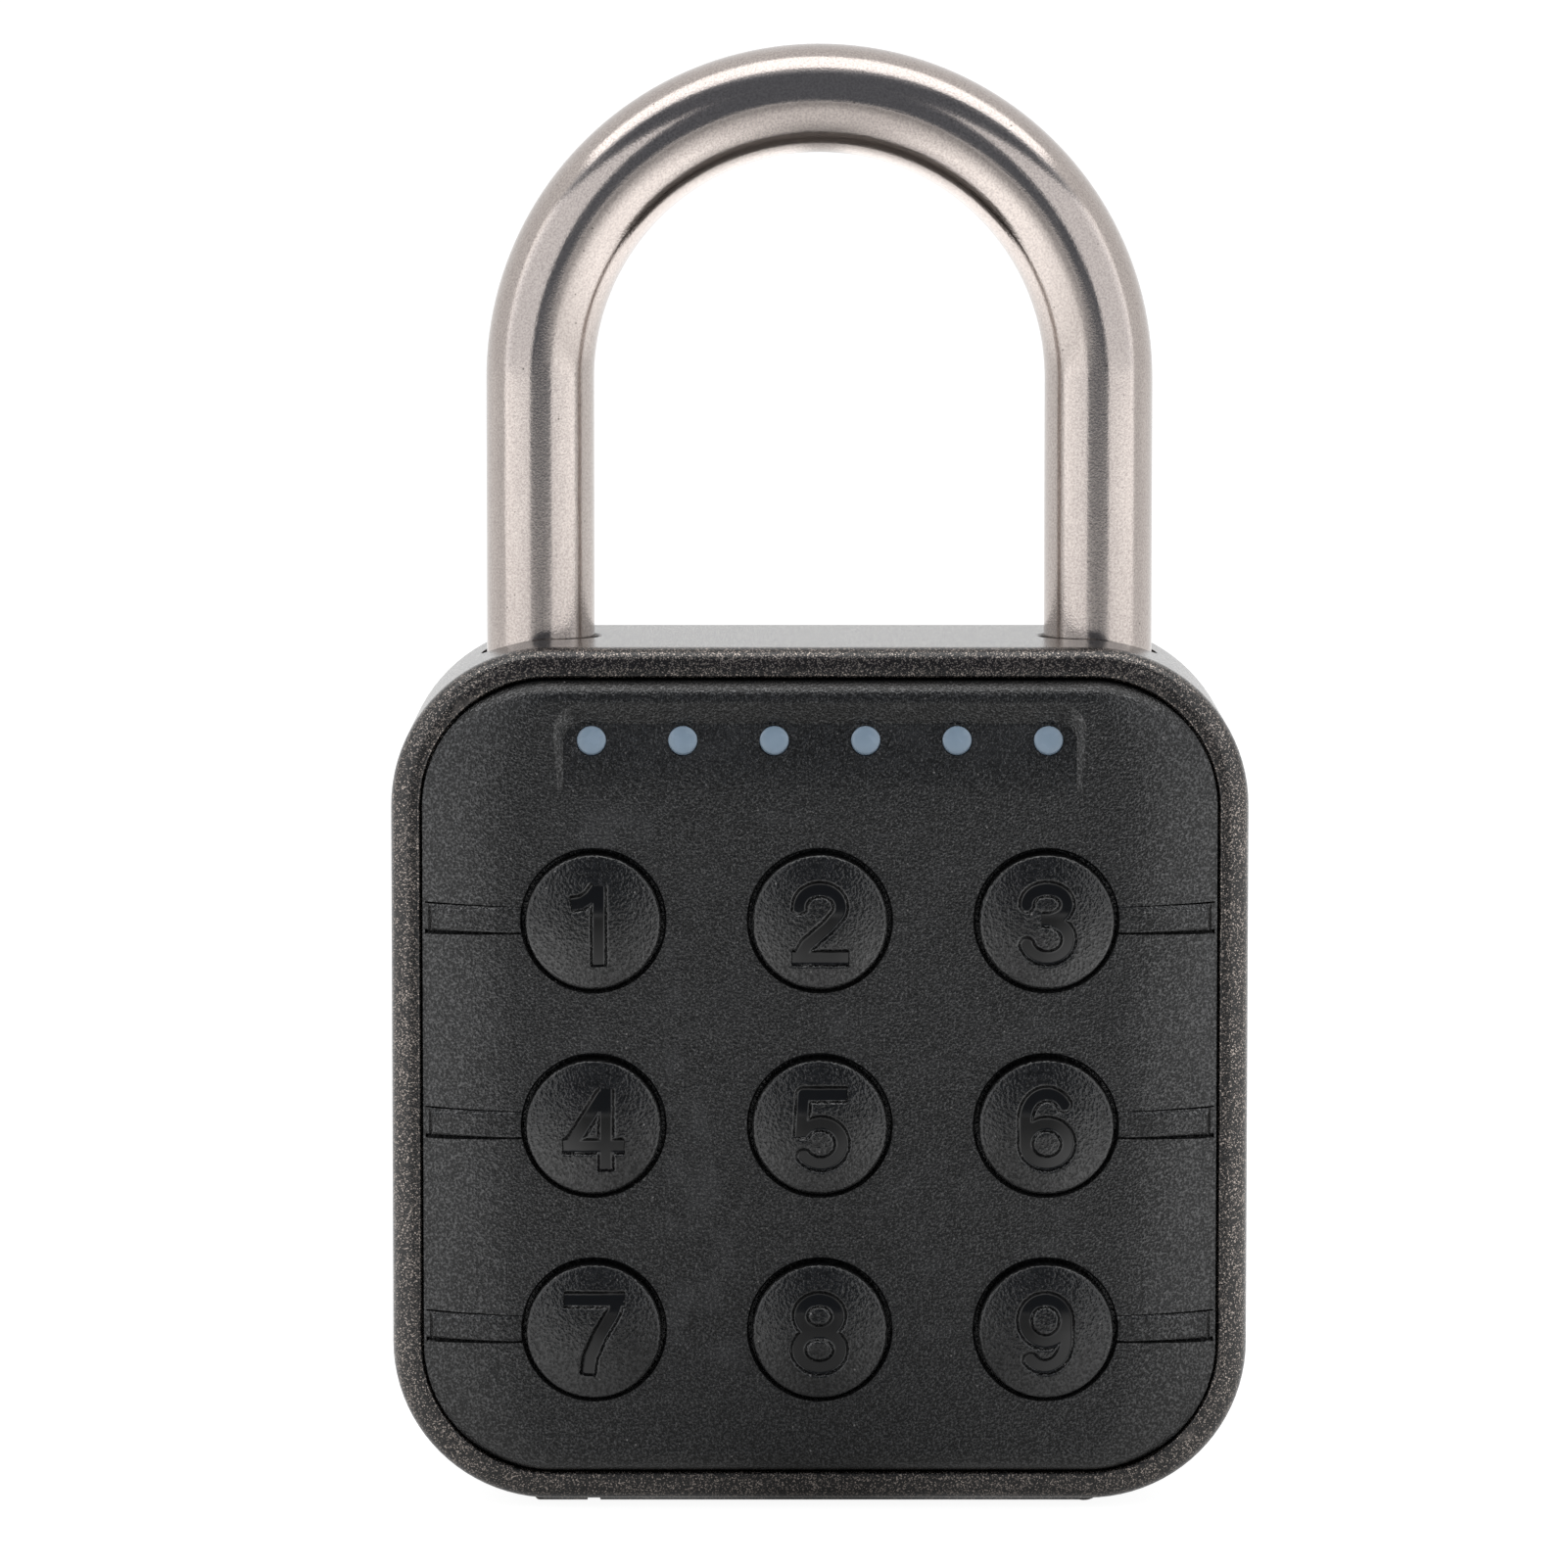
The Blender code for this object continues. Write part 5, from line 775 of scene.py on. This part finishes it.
def pocket_outline(inset_x, inset_top, corner):
    """The pocket's outline drawn in from its sides and top, its upper corners rounded."""
    half = POCKET_HALF_WIDTH - inset_x
    top = POCKET_TOP - inset_top
    points = [(-half, POCKET_BOTTOM), (half, POCKET_BOTTOM)]
    for side, first in ((1, 0), (-1, 90)):
        for angle in turn_angles(ROUND_STEPS, 90, first):
            x = side * (half - corner) + corner * math.cos(angle)
            points.append((x, top - corner + corner * math.sin(angle)))
    return points


def pocket_rings():
    """Rings of the pocket's room: a ramp floor, sloped top and side walls, and a soft lip."""
    lip = pocket_outline(-POCKET_LIP, -POCKET_LIP, POCKET_CORNER + POCKET_LIP)
    inner = POCKET_LIP * POCKET_LIP_INNER_SHARE
    edge = pocket_outline(inner, inner, POCKET_CORNER)
    floor = pocket_outline(POCKET_SIDE_SLOPE, POCKET_TOP_SLOPE, POCKET_CORNER - POCKET_SIDE_SLOPE)
    run = POCKET_HEIGHT - POCKET_TOP_SLOPE
    wall = POCKET_DEPTH * POCKET_LIP / POCKET_TOP_SLOPE

    def floor_depth(z):
        return POCKET_DEPTH * min(1.0, (z - POCKET_BOTTOM) / run) - POCKET_RUN_OUT

    return [
        [(x, PANEL_Y - OVERRUN, z) for x, z in lip],
        [(x, PANEL_Y - 2 * POCKET_RUN_OUT, z) for x, z in lip],
        [(x, PANEL_Y + min(wall, floor_depth(z)), z) for x, z in edge],
        [(x, PANEL_Y + floor_depth(z), z) for x, z in floor],
    ]


def make_panel():
    """The moulded front: a pillow with tight ends, its ribs, holes and indicator pocket."""
    rings = [
        panel_ring(PANEL_SKIRT_WALL, PANEL_SKIRT_WALL, PANEL_CEILING),
        panel_ring(PANEL_SKIRT_WALL, PANEL_SKIRT_WALL, PANEL_SKIRT_DEPTH),
        panel_ring(0, 0, PANEL_SKIRT_DEPTH),
    ]
    for angle in turn_angles(PANEL_ROLL_STEPS):
        drop = PANEL_RISE * (1 - math.sin(angle))
        rings.append(panel_ring(side_inset(drop), end_inset(drop), drop - PANEL_PROUD))
    panel = piece("moulded_panel", solids([rings]), [TEXTURED_ABS])
    ribs = [rib_rings(side, z) for side, z in RIB_PLACES]
    carve(panel, solids(ribs), "UNION")
    creases = [crease_rings(side, z, facing) for side, z in RIB_PLACES for facing in (-1, 1)]
    carve(panel, solids(creases))
    through = PANEL_PROUD + PANEL_CEILING + OVERRUN
    radius = BUTTON_RADIUS + BUTTON_HOLE_GAP
    profile = [(radius + HOLE_LIP, -OVERRUN), (radius + HOLE_LIP, 0), (radius, HOLE_LIP), (radius, through)]
    places = [(x, PANEL_Y, z) for x, z in BUTTON_MIDDLES.values()]
    carve(panel, solids([turned_rings(profile, place, "Y", BUTTON_HOLE_SIDES) for place in places]))
    carve(panel, solids([pocket_rings()]))
    radius = LAMP_RADIUS + LAMP_HOLE_GAP
    profile = [(radius, 0), (radius, through)]
    places = [(x, PANEL_Y, LAMP_Z) for x in LAMP_MIDDLES]
    carve(panel, solids([turned_rings(profile, place, "Y", LAMP_SIDES) for place in places]))
    even_shading(panel, PANEL_SHARP_DEGREES)
    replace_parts(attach(panel, "case"), "front_panel")


def stroke_lines(number):
    """The number's strokes as broken lines in metres, x to the right and z up from its middle.

    An arc is its centre x and z, its radius along x and z, and its first and last angle.
    """
    lines = []
    for steps in DIGIT_STROKES[number]:
        points = []
        for step in steps:
            if len(step) == 2:
                points.append(step)
                continue
            centre_x, centre_z, radius_x, radius_z, first, last = step
            count = round(abs(last - first) / DIGIT_ARC_STEP_DEGREES)
            for angle in turn_angles(count, last - first, first):
                place = (centre_x + radius_x * math.cos(angle), centre_z + radius_z * math.sin(angle))
                points.append(place)
        lines.append(np.array(points) * DIGIT_HEIGHT)
    return lines


def inside_strokes(number, x, z):
    """How far each point lies inside the number's outline, in metres; negative outside."""
    half = DIGIT_STROKE / 2
    place = np.stack([x, z + DIGIT_BELOW_MIDDLE], axis=-1)
    best = np.full(x.shape, -1.0)
    for line in stroke_lines(number):
        closed = np.allclose(line[0], line[-1])
        for index in range(len(line) - 1):
            start, end = line[index], line[index + 1]
            span = end - start
            length = float(np.hypot(*span))
            along = ((place - start) @ span) / length
            across = np.abs((place - start) @ np.array([-span[1], span[0]])) / length
            before, beyond = np.maximum(-along, 0), np.maximum(along - length, 0)
            inside = half - np.hypot(across, np.maximum(before, beyond))
            if not closed and index == 0:
                inside = np.where(before > 0, np.minimum(half - across, -before), inside)
            if not closed and index == len(line) - 2:
                inside = np.where(beyond > 0, np.minimum(half - across, -beyond), inside)
            best = np.maximum(best, inside)
    return best


def make_button(number):
    """A domed key whose number is sunk into the dome with sloped walls and a polished floor."""
    middle_x, middle_z = BUTTON_MIDDLES[number]
    front = PANEL_Y - BUTTON_PROUD
    crown = BUTTON_RADIUS - BUTTON_EDGE_ROUND
    sphere = (crown**2 + BUTTON_CROWN**2) / (2 * BUTTON_CROWN)
    share = np.linspace(-1, 1, BUTTON_GRID + 1)
    across, up = np.meshgrid(share, share, indexing="ij")
    x = crown * across * np.sqrt(1 - up**2 / 2)
    z = crown * up * np.sqrt(1 - across**2 / 2)
    sunk = np.clip(inside_strokes(number, x, z) / DIGIT_WALL, 0, 1)
    sunk = DIGIT_WALL_STRAIGHT * sunk + DIGIT_WALL_SOFT * sunk * sunk * (3 - 2 * sunk)
    y = front + sphere - np.sqrt(np.maximum(sphere**2 - x**2 - z**2, 0)) + DIGIT_DEPTH * sunk
    bm = bmesh.new()
    dome = np.stack([middle_x + x, y, middle_z + z], axis=-1).tolist()
    columns = [[bm.verts.new(point) for point in column] for column in dome]
    for index, (column, following) in enumerate(zip(columns, columns[1:])):
        for row in range(BUTTON_GRID):
            face = bm.faces.new((column[row], following[row], following[row + 1], column[row + 1]))
            polished = sunk[index : index + 2, row : row + 2].mean() > DIGIT_POLISHED_FROM
            face.material_index = 1 if polished else 0
    border = [column[0] for column in columns[:-1]] + columns[-1][:-1]
    border += [column[-1] for column in columns[:0:-1]] + columns[0][:0:-1]
    flange = RIM_Y + PANEL_CEILING + BUTTON_FLANGE_BEHIND - front
    post_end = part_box(f"button_{number}")[1].y - front
    profile = []
    for angle in turn_angles(ROUND_STEPS)[1:]:
        depth = BUTTON_CROWN + BUTTON_EDGE_ROUND * (1 - math.cos(angle))
        profile.append((crown + BUTTON_EDGE_ROUND * math.sin(angle), depth))
    profile += [
        (BUTTON_RADIUS, flange),
        (BUTTON_RADIUS + BUTTON_FLANGE_REACH, flange),
        (BUTTON_RADIUS + BUTTON_FLANGE_REACH, flange + BUTTON_FLANGE_THICKNESS),
        (BUTTON_POST_RADIUS, flange + BUTTON_FLANGE_THICKNESS),
        (BUTTON_POST_RADIUS, post_end),
    ]
    directions = [(v.co - Vector((middle_x, v.co.y, middle_z))).normalized() for v in border]
    previous = border
    for radius, depth in profile:
        middle = Vector((middle_x, front + depth, middle_z))
        row = [bm.verts.new(middle + direction * radius) for direction in directions]
        band(bm, previous, row)
        previous = row
    bm.faces.new(previous)
    key = piece(f"key_cap_{number}", bm, [SATIN_ABS, POLISHED_ABS], BUTTON_SHARP_DEGREES)
    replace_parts(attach(key, f"key_{number}"), f"button_{number}")


def make_light_guide():
    """One milky moulding: a bar with six domed posts that show in the pocket."""
    guide_low, guide_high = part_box("light_guide")
    bar_front = RIM_Y + PANEL_CEILING + PANEL_GAP
    bm = bmesh.new()
    low = (guide_low.x, bar_front, guide_low.z)
    high = (guide_high.x, bar_front + GUIDE_THICKNESS, guide_high.z)
    block(bm, low, high, GUIDE_EDGE)
    guide = piece("milky_guide", bm, [MILKY_ACRYLIC])
    profile = []
    for angle in turn_angles(LAMP_DOME_STEPS)[1:]:
        profile.append((LAMP_RADIUS * math.sin(angle), -LAMP_DOME * math.cos(angle)))
    profile.append((LAMP_RADIUS, guide_high.y - guide_low.y))
    places = [(x, guide_low.y + LAMP_DOME, LAMP_Z) for x in LAMP_MIDDLES]
    carve(guide, solids([turned_rings(profile, place, "Y", LAMP_SIDES) for place in places]), "UNION")
    even_shading(guide)
    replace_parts(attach(guide, "case"), "light_guide")


def bar_stations():
    """Along the bent bar from its long leg's end: each place, its heading and its radius."""
    arch_z = shackle_high.z - BAR_RADIUS - LEG_X
    heel_end = shackle_low.z
    toe_end = shell_high.z - TOE_DEPTH
    neck_low = heel_end + HEAD_LENGTH
    neck_high = neck_low + NECK_LENGTH
    long_leg = [
        (heel_end, BAR_RADIUS - NECK_EDGE),
        (heel_end + NECK_EDGE, BAR_RADIUS),
        (neck_low - NECK_EDGE, BAR_RADIUS),
        (neck_low, BAR_RADIUS - NECK_EDGE),
        (neck_low, NECK_RADIUS),
        (neck_high, NECK_RADIUS),
        (neck_high, BAR_RADIUS - NECK_EDGE),
        (neck_high + NECK_EDGE, BAR_RADIUS),
    ]
    short_leg = []
    for step in range(1, LEG_STEPS):
        z = neck_high + NECK_EDGE + (arch_z - neck_high - NECK_EDGE) * step / LEG_STEPS
        long_leg.append((z, BAR_RADIUS))
        z = arch_z - (arch_z - toe_end - TOE_CHAMFER) * step / LEG_STEPS
        short_leg.append((z, BAR_RADIUS))
    short_leg += [(toe_end + TOE_CHAMFER, BAR_RADIUS), (toe_end, BAR_RADIUS - TOE_CHAMFER)]
    stations = [((-LEG_X, z), (0.0, 1.0), radius) for z, radius in long_leg]
    for angle in turn_angles(ARCH_STEPS, -180, 180):
        place = (LEG_X * math.cos(angle), arch_z + LEG_X * math.sin(angle))
        stations.append((place, (math.sin(angle), -math.cos(angle)), BAR_RADIUS))
    return stations + [((LEG_X, z), (0.0, -1.0), radius) for z, radius in short_leg]


def make_shackle():
    """The bent bar, with the turned neck of its long leg and the notch of its short one."""
    stations = bar_stations()
    travel = [0.0]
    for (place, _, _), (before, _, _) in zip(stations[1:], stations):
        travel.append(travel[-1] + math.hypot(place[0] - before[0], place[1] - before[1]))
    bm = bmesh.new()
    layer = bm.loops.layers.uv.new("bar")
    rows = []
    for place, heading, radius in stations:
        row = []
        for side in range(BAR_SIDES):
            angle = 2 * math.pi * side / BAR_SIDES
            out = radius * math.cos(angle)
            x = place[0] - heading[1] * out
            z = place[1] + heading[0] * out
            row.append(bm.verts.new((x, LEG_Y + radius * math.sin(angle), z)))
        rows.append(row)
    for index, (row, following) in enumerate(zip(rows, rows[1:])):
        for side, face in enumerate(band(bm, row, following)):
            corners = ((side, index), (side + 1, index), (side + 1, index + 1), (side, index + 1))
            for loop, (around, station) in zip(face.loops, corners):
                loop[layer].uv = (around / BAR_SIDES, travel[station] / BAR_PATTERN_LENGTH)
    bm.faces.new(rows[0])
    bm.faces.new(list(reversed(rows[-1])))
    shackle = piece("bent_bar", bm, [POLISHED_STAINLESS])
    cuts = bmesh.new()
    face_x = LEG_X - BAR_RADIUS
    notch_z = shell_high.z - TOE_DEPTH + NOTCH_ABOVE_END
    low = (face_x - OVERRUN, LEG_Y - BAR_RADIUS - OVERRUN, notch_z)
    high = (face_x + NOTCH_DEPTH, LEG_Y + BAR_RADIUS + OVERRUN, notch_z + NOTCH_HEIGHT)
    block(cuts, low, high)
    carve(shackle, cuts)
    even_shading(shackle)
    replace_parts(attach(shackle, "shackle"), "shackle")


def make_door():
    """The battery door: a plate with rounded edges, a hinge knuckle and a nail nick."""
    hinge_x = door_high.x - KNUCKLE_RADIUS
    hinge_place = (hinge_x, door_low.y, door_low.z + KNUCKLE_RADIUS)
    bm = bmesh.new()
    low = (door_low.x, door_low.y, door_low.z)
    high = (hinge_x + DOOR_EDGE, door_high.y, door_low.z + DOOR_THICKNESS)
    block(bm, low, high, DOOR_EDGE, EDGE_STEPS)
    door = piece("coated_door", bm, [COATED_ZINC])
    length = door_high.y - door_low.y
    profile = [
        (KNUCKLE_RADIUS - KNUCKLE_EDGE, 0),
        (KNUCKLE_RADIUS, KNUCKLE_EDGE),
        (KNUCKLE_RADIUS, length - KNUCKLE_EDGE),
        (KNUCKLE_RADIUS - KNUCKLE_EDGE, length),
    ]
    carve(door, solids([turned_rings(profile, hinge_place, "Y", KNUCKLE_SIDES)]), "UNION")
    radius = HINGE_PIN_RADIUS + PIN_GAP
    profile = [(radius, -OVERRUN), (radius, length + OVERRUN)]
    bore = turned_rings(profile, hinge_place, "Y", HINGE_BORE_SIDES)
    nick_end = (NICK_RADIUS * NICK_END_SHARE, NICK_LENGTH + NICK_RADIUS)
    profile = [(NICK_RADIUS, -OVERRUN), (NICK_RADIUS, NICK_LENGTH), nick_end]
    nick = turned_rings(profile, (-NICK_FROM_MIDDLE, door_low.y, door_low.z), "Y", NICK_SIDES)
    carve(door, solids([bore, nick]))
    even_shading(door)
    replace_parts(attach(door, "door"), "battery_door")


def dress_hidden_works():
    """Gives every CAD node that stays its own finish, by how its name starts."""
    wearers = {
        CAST_ZINC: ("lock_case",),
        PLATED_STEEL: ("case_", "board_screw_", "gear_motor", "heel_pin", "latch_bolt", "door_hinge_pin"),
        SPRING_STEEL: ("lift_spring",),
        ROLLED_BRASS: ("drive_pinion", "battery_contact_"),
        NITRILE_RUBBER: ("panel_gasket",),
        SOLDER_MASK: ("circuit_board",),
        SWITCH_NYLON: ("switch_body_",),
        PLUNGER_ACETAL: ("switch_plunger_",),
        LAMP_CERAMIC: ("led_",),
        CELL_FILM: ("battery_cell",),
    }
    for name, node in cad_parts.items():
        slots = node.data.materials
        for material, starts in wearers.items():
            if not name.startswith(starts):
                continue
            if not slots:
                slots.append(material)
            for index in range(len(slots)):
                slots[index] = material


def make_camera():
    """The camera, placed and aimed as the photograph's was."""
    data = bpy.data.cameras.new("camera")
    data.sensor_width = SENSOR_MM
    data.lens = FOCAL_PIXELS * SENSOR_MM / FRAME_PIXELS
    data.clip_start = CAMERA_NEAR
    data.clip_end = CAMERA_FAR
    camera = bpy.data.objects.new("camera", data)
    camera.location = CAMERA_PLACE
    camera.rotation_euler = (math.radians(90 - CAMERA_PITCH_DEGREES), 0, 0)
    bpy.context.scene.collection.objects.link(camera)
    bpy.context.scene.camera = camera


def white_card():
    """Matt white card: pale to the eye; in mirrors it is dark before the padlock, with a painted shadow
    close to it and a painted reflection beside it and where seen steeply.
    """
    material, tree, shader, place = new_finish("white_card")
    path = add(tree, "LightPath").outputs
    parts = add(tree, "SeparateXYZ", {0: place}).outputs
    across = add(tree, "Math", {0: parts["X"]}, operation="ABSOLUTE")
    before = add(tree, "Math", {0: parts["Y"], 1: -1.0}, operation="MULTIPLY")
    ahead = add(tree, "Math", {0: before, 1: CARD_LEAST_AHEAD}, operation="MAXIMUM")
    slant = add(tree, "Math", {0: across, 1: ahead}, operation="DIVIDE")
    # Painted reflection: in mirrors the card glows brighter beside the padlock than before it
    slants = {"From Min": CARD_MIDDLE_SLANT, "From Max": CARD_SIDE_SLANT}
    levels = {"To Min": MIRRORED_FRONT, "To Max": PAINTED_GLOW_BESIDE}
    beside = add(tree, "MapRange", {"Value": slant, **slants, **levels})
    reach = add(tree, "VectorMath", {0: place}, operation="LENGTH")
    away = add(tree, "MapRange", {"Value": reach, "From Min": CARD_AWAY_FROM, "From Max": CARD_AWAY_WHOLLY})
    level_ahead = add(tree, "Mix", {0: away, 2: beside, 3: MIRRORED_AWAY}, data_type="FLOAT")
    # Painted reflection: card seen steeply in a mirror glows more
    facing = add(tree, "LayerWeight", {"Blend": 0.5}).outputs["Facing"]
    angles = {"From Min": CARD_GRAZING_FACING, "From Max": CARD_STEEP_FACING}
    painted_steep_glow = add(tree, "MapRange", {"Value": facing, **angles, "To Max": PAINTED_GLOW_STEEP})
    # Painted shadow: close to the padlock the glow in mirrors falls away, standing in for the padlock's
    # shadow on the card
    painted_shadow_reaches = {"From Min": CARD_PAINTED_SHADOW_REACH, "From Max": CARD_PAINTED_SHADOW_END, "To Min": CARD_PAINTED_SHADOW_SHARE}
    clear = add(tree, "MapRange", {"Value": reach, **painted_shadow_reaches})
    open_card = add(tree, "Math", {0: level_ahead, 1: painted_steep_glow}, operation="ADD")
    painted_mirror_glow = add(tree, "Math", {0: open_card, 1: clear}, operation="MULTIPLY")
    depths = {"Value": parts["Y"], "From Min": CARD_NEAR_DEPTH, "From Max": CARD_FAR_DEPTH}
    seen = add(tree, "MapRange", {**depths, "To Min": CARD_SEEN_NEAR, "To Max": CARD_SEEN_FAR})
    to_eye = add(tree, "Math", {0: path["Is Camera Ray"], 1: seen}, operation="MULTIPLY")
    rays = {0: path["Is Glossy Ray"], 1: path["Is Transmission Ray"]}
    mirrored = add(tree, "Math", rays, operation="ADD")
    shine = add(tree, "MapRange", {**depths, "To Min": painted_mirror_glow, "To Max": MIRRORED_FAR})
    to_mirrors = add(tree, "Math", {0: mirrored, 1: shine}, operation="MULTIPLY")
    # Greyer than it looks, so that it throws little light back at the padlock
    surface = {
        "Base Color": linear("#8f8f8e"),
        "Roughness": 0.9,
        "Specular IOR Level": 0.1,
        "Emission Color": WHITE,
        "Emission Strength": add(tree, "Math", {0: to_eye, 1: to_mirrors}, operation="ADD"),
    }
    feed(tree, shader, surface)
    return material


def make_table():
    """A pale table that starts behind the camera and curves up into a backdrop at its far end."""
    line = [(CARD_FRONT, 0.0), (CARD_TURN_START, 0.0)]
    for angle in turn_angles(CARD_TURN_STEPS)[1:]:
        y = CARD_TURN_START + CARD_TURN_RADIUS * math.sin(angle)
        line.append((y, CARD_TURN_RADIUS * (1 - math.cos(angle))))
    line.append((CARD_TURN_START + CARD_TURN_RADIUS, CARD_HEIGHT))
    bm = bmesh.new()
    left, right = ([bm.verts.new((x, y, z)) for y, z in line] for x in (-CARD_HALF_WIDTH, CARD_HALF_WIDTH))
    for index in range(len(line) - 1):
        bm.faces.new((left[index], right[index], right[index + 1], left[index + 1]))
    piece("white_card", bm, [white_card()])


def make_room():
    """A white tent all round, open in front towards a dark room; white to the camera."""
    world = bpy.data.worlds.new("tent")
    bpy.context.scene.world = world
    world.use_nodes = True
    tree = world.node_tree
    ray = add(tree, "TexCoord").outputs["Generated"]
    parts = add(tree, "SeparateXYZ", {0: ray}).outputs
    depths = {"From Min": ROOM_DEPTH_SHARE, "From Max": TENT_DEPTH_SHARE}
    heights = {"From Min": ROOM_HEIGHT_SHARE, "From Max": TENT_HEIGHT_SHARE}
    behind = add(tree, "MapRange", {"Value": parts["Y"], **depths})
    above = add(tree, "MapRange", {"Value": parts["Z"], **heights})
    tent = add(tree, "Math", {0: behind, 1: above}, operation="MAXIMUM")
    level = add(tree, "MapRange", {"Value": tent, "To Min": ROOM_LEVEL, "To Max": TENT_LEVEL})
    hue = add(tree, "Mix", {0: tent, 6: linear("#dfe9f8"), 7: WHITE}, data_type="RGBA")
    eye = add(tree, "LightPath").outputs["Is Camera Ray"]
    strength = add(tree, "Mix", {0: eye, 2: level, 3: 1.0}, data_type="FLOAT")
    seen = add(tree, "Mix", {0: eye, 6: hue, 7: WHITE}, data_type="RGBA")
    feed(tree, tree.nodes["Background"], {"Color": seen, "Strength": strength})


def make_softbox(name, azimuth, elevation, distance, size, radiance):
    """A soft box aimed at the padlock; azimuth runs from the front to the right."""
    turn = math.radians(azimuth)
    lift = math.radians(elevation)
    flat = math.cos(lift)
    direction = Vector((math.sin(turn) * flat, -math.cos(turn) * flat, math.sin(lift)))
    data = bpy.data.lights.new(name, "AREA")
    data.shape = "RECTANGLE"
    data.size, data.size_y = size
    data.energy = radiance * math.pi * size[0] * size[1]
    lamp = bpy.data.objects.new(name, data)
    lamp.location = SOFTBOX_AIM + direction * distance
    lamp.rotation_euler = (-direction).to_track_quat("-Z", "Y").to_euler()
    bpy.context.scene.collection.objects.link(lamp)


make_camera()
make_shell()
make_panel()
for number in BUTTON_MIDDLES:
    make_button(number)
make_light_guide()
make_shackle()
make_door()
dress_hidden_works()
make_table()
make_room()
for name, setting in SOFTBOXES.items():
    make_softbox(name, *setting)
bpy.context.scene.view_settings.view_transform = "Standard"
